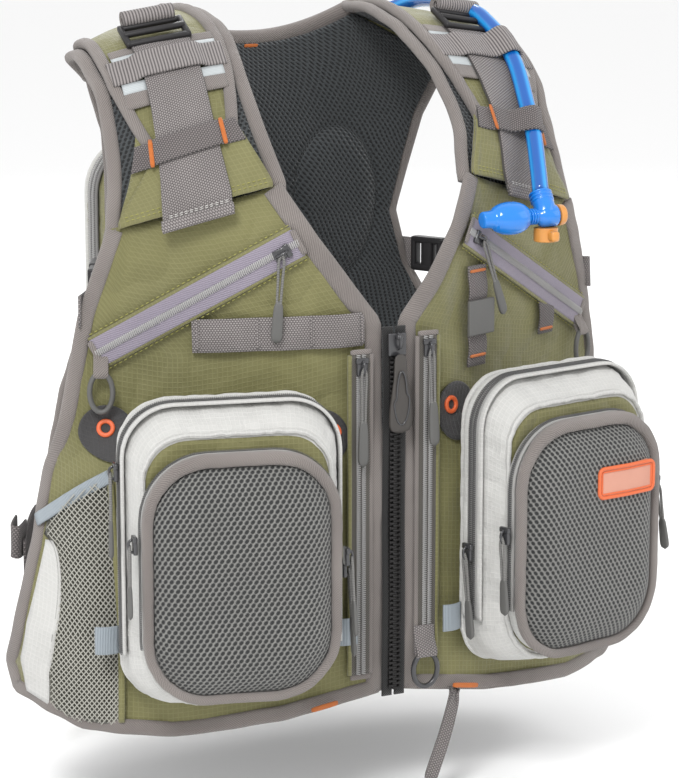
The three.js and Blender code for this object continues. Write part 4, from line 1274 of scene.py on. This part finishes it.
def net_pocket(side=-1.0):
    body = "front_r"
    lines = []
    t = np.linspace(0, 330, 84)
    for way in (1, -1):
        for start in np.arange(-260, 330, 4.6):
            x = NET_INNER + (t * 0.5 if way > 0 else 62 - t * 0.5)
            z = start + t * 0.78
            inside = (x >= NET_INNER) & (x <= net_outer(z))
            inside &= (z <= elastic_height(x)) & (z > panel_hem(x) + 5)
            if inside.sum() < 3:
                continue
            x, z = x[inside], z[inside]
            across = np.clip((x - NET_INNER) / (net_outer(z) - NET_INNER), 0, 1)
            puff = 5.5 * np.sin(across * math.pi) * np.clip((z - 24) / 60, 0.15, 1) + 1.2
            p, n = front(side, x, z)
            lines.append(sweep("net_line", p + n * puff[:, None], n, circle(0.46, 4)))
    group("net_pocket", lines, NET, body)
    x, up = NET_INNER + np.linspace(0, 1, 14) * 46, np.linspace(0, 1, 30)[:, None]
    z = panel_hem(x) + 6 + (np.minimum(elastic_height(x), 212) - panel_hem(x) - 6) * up
    p, _ = front(side, np.minimum(x, net_outer(z)), z, 1.3)
    cloth("net_backing", p, 1.0, NET_BACK, body)
    x = np.linspace(203, 243, 24)
    p, n = front(side, x, elastic_height(x), 3.4)
    strip("net_elastic", p + n * (np.sin(x) * 0.3)[:, None], n, oval(10, 2.6, 0, 0, 4), ELASTIC, body)
    p, n = front(side, 203.5, np.linspace(36, 216, 40), 1.6)
    strip("net_seam", p, n, oval(5, 3), OLIVE, body)


def side_gusset(tag, side):
    """The pale strip along the foot of the armhole edge."""
    foot, height = 52, 116
    rise = np.linspace(0, 1, 34)[:, None]
    z = foot + height * rise
    x = table(ARM_EDGE, z) - 6 - gusset_width(z) * (1 - np.linspace(0, 1, 8))
    p, n = front(side, x, z - (foot - panel_hem(x) - 5) * (1 - rise), 2.0)
    p = p + n * (np.maximum(0, folds(p, 20, 14, 0.5)) * 0.8)[..., None]
    cloth("side_gusset_" + tag, p, 1.4, BONE, "front_" + tag)


# ---- The back ----
def back_points(across, share, lift=0.0):
    """The back panel from its hem (share 0) to the shoulder seam (share 1)."""
    a, t = np.broadcast_arrays(np.array(across, float), np.array(share, float))
    low, seam, split = 20.0, 455.0, 0.86
    p, n = back(a, low + (seam - low) * np.minimum(t / split, 1))
    blend = np.clip((t - split) / (1 - split), 0, 1)[..., None]
    size = np.abs(a) * 158
    inner = np.minimum(size / 84, 1) ** 2.2
    outer = np.clip((size - 84) / 74, 0, 1)
    top = np.stack([np.sign(a) * size, 114 - 26 * inner - 24 * outer, 520 + 26 * inner - 44 * outer], -1)
    lean = unit(n + blend * (0, 0, 0.35))
    return p * (1 - blend) + top * blend + lean * lift, lean


def back_side():
    p, n = back_points(np.linspace(-1, 1, 70), np.linspace(0, 1, 84)[:, None])
    cloth("back_panel", rumpled(p, n, 0.8, 90, 17, 0.3), 3.2, OLIVE, "back", "back_panel")
    us, vs = np.linspace(-0.975, 0.975, 110), np.linspace(0.03, 0.99, 130)[:, None]
    flat, _ = back_points(us, vs)
    far = np.hypot((np.abs(flat[..., 0]) - 75) / 31, (flat[..., 2] - 383) / 54)
    pad_up = 5.4 / (1 + np.exp((far - 1) * 14)) - 2.4 * np.exp(-((far - 1.14) / 0.09) ** 2)
    p, n = back_points(us, vs, -5.4)
    p = p - n * (pad_up + folds(p, 120, 2) * 0.8)[..., None]
    cloth("back_lining", p, 3.4, LINING, "back", "back_lining")

    for tag, side in SIDES.items():
        line, out = back_points(side, np.linspace(0, 1, 110), -3.0)
        line = rumpled(line, out, 0.6, 30, 5)
        strip("back_binding_" + tag, line, out, oval(14, 9, 3 * side), TWILL, "back")
    line, out = back_points(np.linspace(-0.56, 0.56, 60), 1, -3.4)
    strip("collar_binding", line, out, oval(15, 9.4, -2, 0), TWILL, "back")
    tack("collar_tack", line[30] - out[30] * 5 - UP * 5, ACROSS, -out[30], 12, "back", 3)
    line, out = back_points(np.linspace(-1, 1, 80), 0, -1.6)
    strip("back_hem", line, out, oval(15, 6.4, 3, 0), TWILL, "back")


def back_pack():
    place = lambda a, d, z: np.stack(np.broadcast_arrays(-np.asarray(a, float), PACK_Y + d, z), -1)
    outline = rectangle(PACK_W - 4, PACK_LOW + 2, PACK_HIGH - 2, 42)
    piece(bag_body("back_pack", place, outline, outline, 0.3, 45, 41, 2.0, 4.0), OLIVE, "back", "back_pack")
    face_line = rectangle(PACK_W - 10, PACK_LOW + 5, PACK_HIGH - 5, 40)
    piece(bag_face("back_pack_face", place, face_line, 41, 50.5, 22, 0.6, 44, 0.9), OLIVE, "back")
    p, out = ring_path(place, outline, 43, -2.0)
    strip("pack_piping", p, out, circle(2.8, 8), BONE, "back", closed=True)
    p, out = zip_path(place, outline, 22, 1.0, PACK_LOW + 90)
    zip_strip("pack_zip", p, out, 20, "back", GREY_TAPE, coil_width=4.6, rows=(-3.4, 3.4), lift=0.6)
    for i, a in enumerate((-1, 1)):
        seat = place(a * (PACK_W / 2 + 1.4), 22, 250)
        zip_pull(f"pack_pull_{i}", seat, ACROSS * -a, UP, (-a * 2, 4, -62), "back")
    pocket = rectangle(196, 84, 262, 34)
    piece(bag_face("pack_pocket", place, pocket, 47, 58.5, 16, 0.6, 52, 0.6), LINING, "back")
    p, out = ring_path(place, pocket, 49.5, 0.5)
    strip("pack_pocket_binding", p, out, oval(7, 8), TWILL, "back", closed=True)
    p = resample([place(-84, 53.2, 300), place(84, 53.2, 300)], 5)
    zip_strip("pack_front_zip", p, BEHIND, 18, "back", TAPE)
    zip_pull("pack_front_pull", place(-70, 56, 300), BEHIND, ACROSS, (0, 3, -56), "back")
    for x in (-60, 0, 60):
        path = ((51.2, 350), (53.6, 352), (53.8, 372), (53.6, 396), (50.5, 399))
        strap = spline([place(x, depth, z) for depth, z in path], 5)
        out = unit(np.cross(np.gradient(strap, axis=0), ACROSS))
        strip(f"lash_strap_{x + 60}", strap, out, flat_section(16, 1.6), WEBBING, "back")
        for z in (352, 396):
            tack(f"lash_tack_{x + 60}_{z}", place(x, 55.2, z), ACROSS, BEHIND, 13, "back", 2.6)
    bladder = rectangle(200, 76, 396, 45, 8.0)
    profile = ((3.4, 6), (4.4, 1.5), (9, 0.3), (18, 0), (27, 1), (31, 5), (32.6, 18), (33, 60))
    rings = [bag_ring(place, bladder, depth, -inset) for depth, inset in profile]
    piece(loft("water_bladder", rings), FILM, "back", "water_bladder")
    port = hoop(place(-70, 25.2, 437), ACROSS, BEHIND, 9.5, 9.5, 28)
    strip("hose_port", port, UP, circle(2.6, 8), RUBBER, "back", closed=True)


def haul_loop():
    t = np.linspace(0, math.pi, 30)
    p = np.stack([np.cos(t) * 46, np.full(30, 126.4), 468 + np.sin(t) ** 0.6 * 25], 1)
    out = unit(np.stack([np.cos(t) * 0.8, 0 * t, np.sin(t) + 0.05], 1))
    strip("haul_loop", p, out, flat_section(21, 2.4), WEBBING, "back", "haul_loop")
    foot = spline([(-52, 119, 466), (-30, 121, 467), (0, 121.5, 467), (30, 121, 467), (52, 119, 466)], 5)
    strip("haul_foot", foot, BEHIND, flat_section(20, 2), WEBBING, "back")
    for x in (-42, 42):
        tack(f"haul_tack_{x + 42}", (x, 123, 467), UP, BEHIND, 15, "back")


# ---- Drinking hose ----
def hose():
    p = resample(spline(HOSE, 10), 4)
    t = unit(np.gradient(p, axis=0))
    rough_up = np.array([0.3, -0.3, 1.0])
    n = unit(rough_up - t * (t @ rough_up)[:, None])
    line = strip("drinking_hose", p, n, circle(HOSE_WIDTH / 2, 20), TUBE, ("front_l",), "hose_rear",
                 "hose_front")
    valve = bite_valve()
    length = float(distances(p)[-1]) * 0.001
    tuple(row(p[0])[0])
    row(p).tolist()


def bite_valve():
    at = np.array([133.0, -138.0, 396.0])
    medial = (-1.0, 0.0, 0.0)
    elbow = spline([(134, -128, 412), (133.5, -132, 406), (133, -136, 401), (132, -138, 397)], 5)
    t = unit(np.gradient(elbow, axis=0))
    trunk = [(0.5, 0), (7.5, 0.4), (8.6, 2), (8.6, 13), (7.2, 15), (5.2, 17), (5.0, 22), (5.6, 23)]
    bulb = spline([(0.6, 0), (5.4, 0.3), (8.6, 2.4), (11.6, 8), (12.6, 15), (12.0, 22), (9.8, 28), (7.4, 31),
                   (6.6, 34), (6.2, 39), (4.8, 40.2), (0.6, 40.4)], 5)
    parts = [sweep("valve_elbow", elbow, np.cross(t, ACROSS), circle(8.2, 20)),
             turned("valve_body", at + (9, 0, 0), medial, trunk),
             turned("valve_bulb", at + (-15.5, 0, 0), medial, bulb)]
    valve = group("bite_valve", parts, CLEAR_BLUE, "bite_valve", "bite_valve")
    neck_ridge = [(5, 0), (6.2, 0.3), (6.2, 1.1), (5, 1.4)]
    hose_ridge = [(7.6, 0), (9, 0.4), (9, 1.5), (7.6, 1.9)]
    ridges = [turned("ridge", at + (-9.2 - i * 2.2, 0, 0), medial, neck_ridge) for i in range(3)]
    ridges += [turned("ridge", elbow[4] + (0, 0.4 + i * 1.6, 2.4 * i), t[4], hose_ridge) for i in range(3)]
    collar = group("valve_ridges", ridges, CLEAR_BLUE, "bite_valve")
    dial_at = at + (0, 0, -8.6)
    dial = spline([(0.5, 0), (8.4, 0.2), (9.2, 1.6), (9.2, 9), (8.2, 10.8), (0.5, 11.2)], 4)
    plug = spline([(0.5, 0), (7.4, 0.2), (8, 1.4), (7.6, 5), (5, 6.4), (0.5, 6.6)], 4)
    parts = [turned("lever_dial", dial_at, (0, 0, -1), dial),
             soft_box("lever_handle", dial_at + (0, -9, -5.6), np.eye(3), (7, 14, 8), 0.4, 3),
             turned("lever_cap", at + (9.4, 0, 0), ACROSS, plug)]
    return [valve, collar, group("shutoff_lever", parts, ORANGE, "shutoff_lever", "shutoff_lever")]


# ---- Small pieces ----
def eyelet(name, body, side, x, z):
    (p,), (n,) = front(side, [x], [z], 1.6)
    level = unit(np.cross(n, UP))
    ring = hoop(p, level, np.cross(level, n), 5.2, 5.2, 32)
    strip(name, ring, n, oval(3.4, 3.0), RING, body, name, closed=True)
    piece(turned(name + "_core", p - n * 2, n, [(0.5, 0), (3.9, 0), (3.9, 1.4), (0.5, 1.5)]), BLACK, body)


def eyelet_patch(name, body, side, x, z, width, height):
    u, v = np.meshgrid(np.linspace(-1, 1, 20), np.linspace(-1, 1, 20))
    across, up = u * np.sqrt(1 - 0.5 * v ** 2), v * np.sqrt(1 - 0.5 * u ** 2)
    p, _ = front(side, x + across * width / 2, z + up * height / 2, 1.1)
    cloth(name, p, 1.4, PATCH, body)


def rail(name, side, points, width, tacks, material, nodes=(), thread=THREAD):
    """Webbing stitched to a front panel at its tacks, standing a little proud between them."""
    body = "front_l" if side > 0 else "front_r"
    q = resample(points, 4.0)
    p, n = front(side, q[:, 0], q[:, 1], 1.8)
    share = np.linspace(0, 1, len(p))
    lift = np.zeros(len(p))
    for a, b in zip(tacks, tacks[1:]):
        inside = (share >= a) & (share <= b)
        lift[inside] = np.sin((share[inside] - a) / (b - a) * math.pi) * 1.6
    p = p + n * lift[:, None]
    strip(name, p, n, flat_section(width, 1.8), material, body, *nodes)
    across = unit(np.cross(unit(np.gradient(p, axis=0)), n))
    for i, a in enumerate(tacks):
        k = min(len(p) - 1, int(a * (len(p) - 1)))
        tack(f"{name}_tack_{i}", p[k] + n[k] * 1.1, across[k], n[k], width - 3, body, 2.4, thread)


def chest_fittings():
    rail("daisy_chain_r", -1, [(24, 322), (82, 320.5), (141, 319)], 25, (0.03, 0.32, 0.64, 0.97), WEBBING,
         ("daisy_chain_r",), WEBBING)
    rail("dock_rail_l", 1, [(81, 360), (81, 283)], 22, (0.1, 0.38, 0.68, 0.93), DARK_WEB, ("dock_tab_l",))
    seat, n = on_chest(1, 81, 321, 5.4)
    piece(soft_box("dock_square_l", seat, (chest_level(1), n, UP), (31, 3.4, 27), 0.4, 3), RUBBER, "front_l")
    rail("loop_patch_l", 1, [(163, 326), (163, 296)], 19, (0.1, 0.9), DARK_WEB)
    eyelet_patch("eyelet_patch_outer_r", "front_r", -1, 199, 248, 38, 40)
    eyelet_patch("eyelet_patch_inner_r", "front_r", -1, 54, 243, 38, 40)
    eyelet_patch("eyelet_patch_inner_l", "front_l", 1, 60, 252, 38, 44)
    eyelet("eyelet_outer_r", "front_r", -1, 200, 251)
    eyelet("eyelet_inner_r", "front_r", -1, 47, 246)
    eyelet("eyelet_inner_l", "front_l", 1, 54, 257)


def hem_pieces():
    ring = hoop(np.array([25, -150.5, 58]), ACROSS, UP, 10.2, 13.2, 40)
    strip("hem_ring", ring, AHEAD, circle(2.1, 10), METAL, "hem_ring", "hem_ring", closed=True)
    tab = spline([(25, y, z) for y, z in ((-147.2, 92), (-149, 82), (-153.4, 73), (-153, 69), (-148.4, 71),
                                          (-146.6, 86))], 5)
    out = unit(np.cross(np.gradient(tab, axis=0), ACROSS))
    strip("hem_ring_tab", tab, out, flat_section(17, 1.6), WEBBING, "front_l")
    aslant = np.array([math.cos(math.radians(60)), math.sin(math.radians(60)), 0])
    loop = [(0, 38), (2.2, 24), (5.0, 8), (7.2, -12), (6.2, -26), (0, -31.5), (-5.8, -25), (-5.6, -12),
            (-3.4, 8), (-1.6, 24), (0, 38)]
    p = spline([np.array([52, -147, 0]) + aslant * x + UP * z for x, z in loop], 5)[:-1]
    p[:, 0] -= 20 * np.clip((32 - p[:, 2]) / 62, 0, 1) ** 1.3
    out = unit(p - p.mean(0))
    strip("hem_loop", p, out, flat_section(9.5, 1.8), WEBBING, "hem_loop", "hem_loop", closed=True)
    tack("hem_tack_l", (60, -150.4, 40.5), (1, 0, -0.14), AHEAD, 22, "front_l", 4)
    tack("hem_tack_r", (-60, -150.2, 40.5), (1, 0, 0.14), AHEAD, 22, "front_r", 4)


# ---- Assembly ----
camera()
studio()
hose()
for tag, side in SIDES.items():
    front_panel(tag, side)
    shoulder(tag, side)
    diagonal_zip(tag, side)
    flap_zip(tag, side)
    centre_zip(tag, side)
    buckle(tag, side)
    chest_pack(tag, side)
    side_gusset(tag, side)
centre_pull()
badge()
net_pocket()
back_side()
back_pack()
haul_loop()
chest_fittings()
hem_pieces()
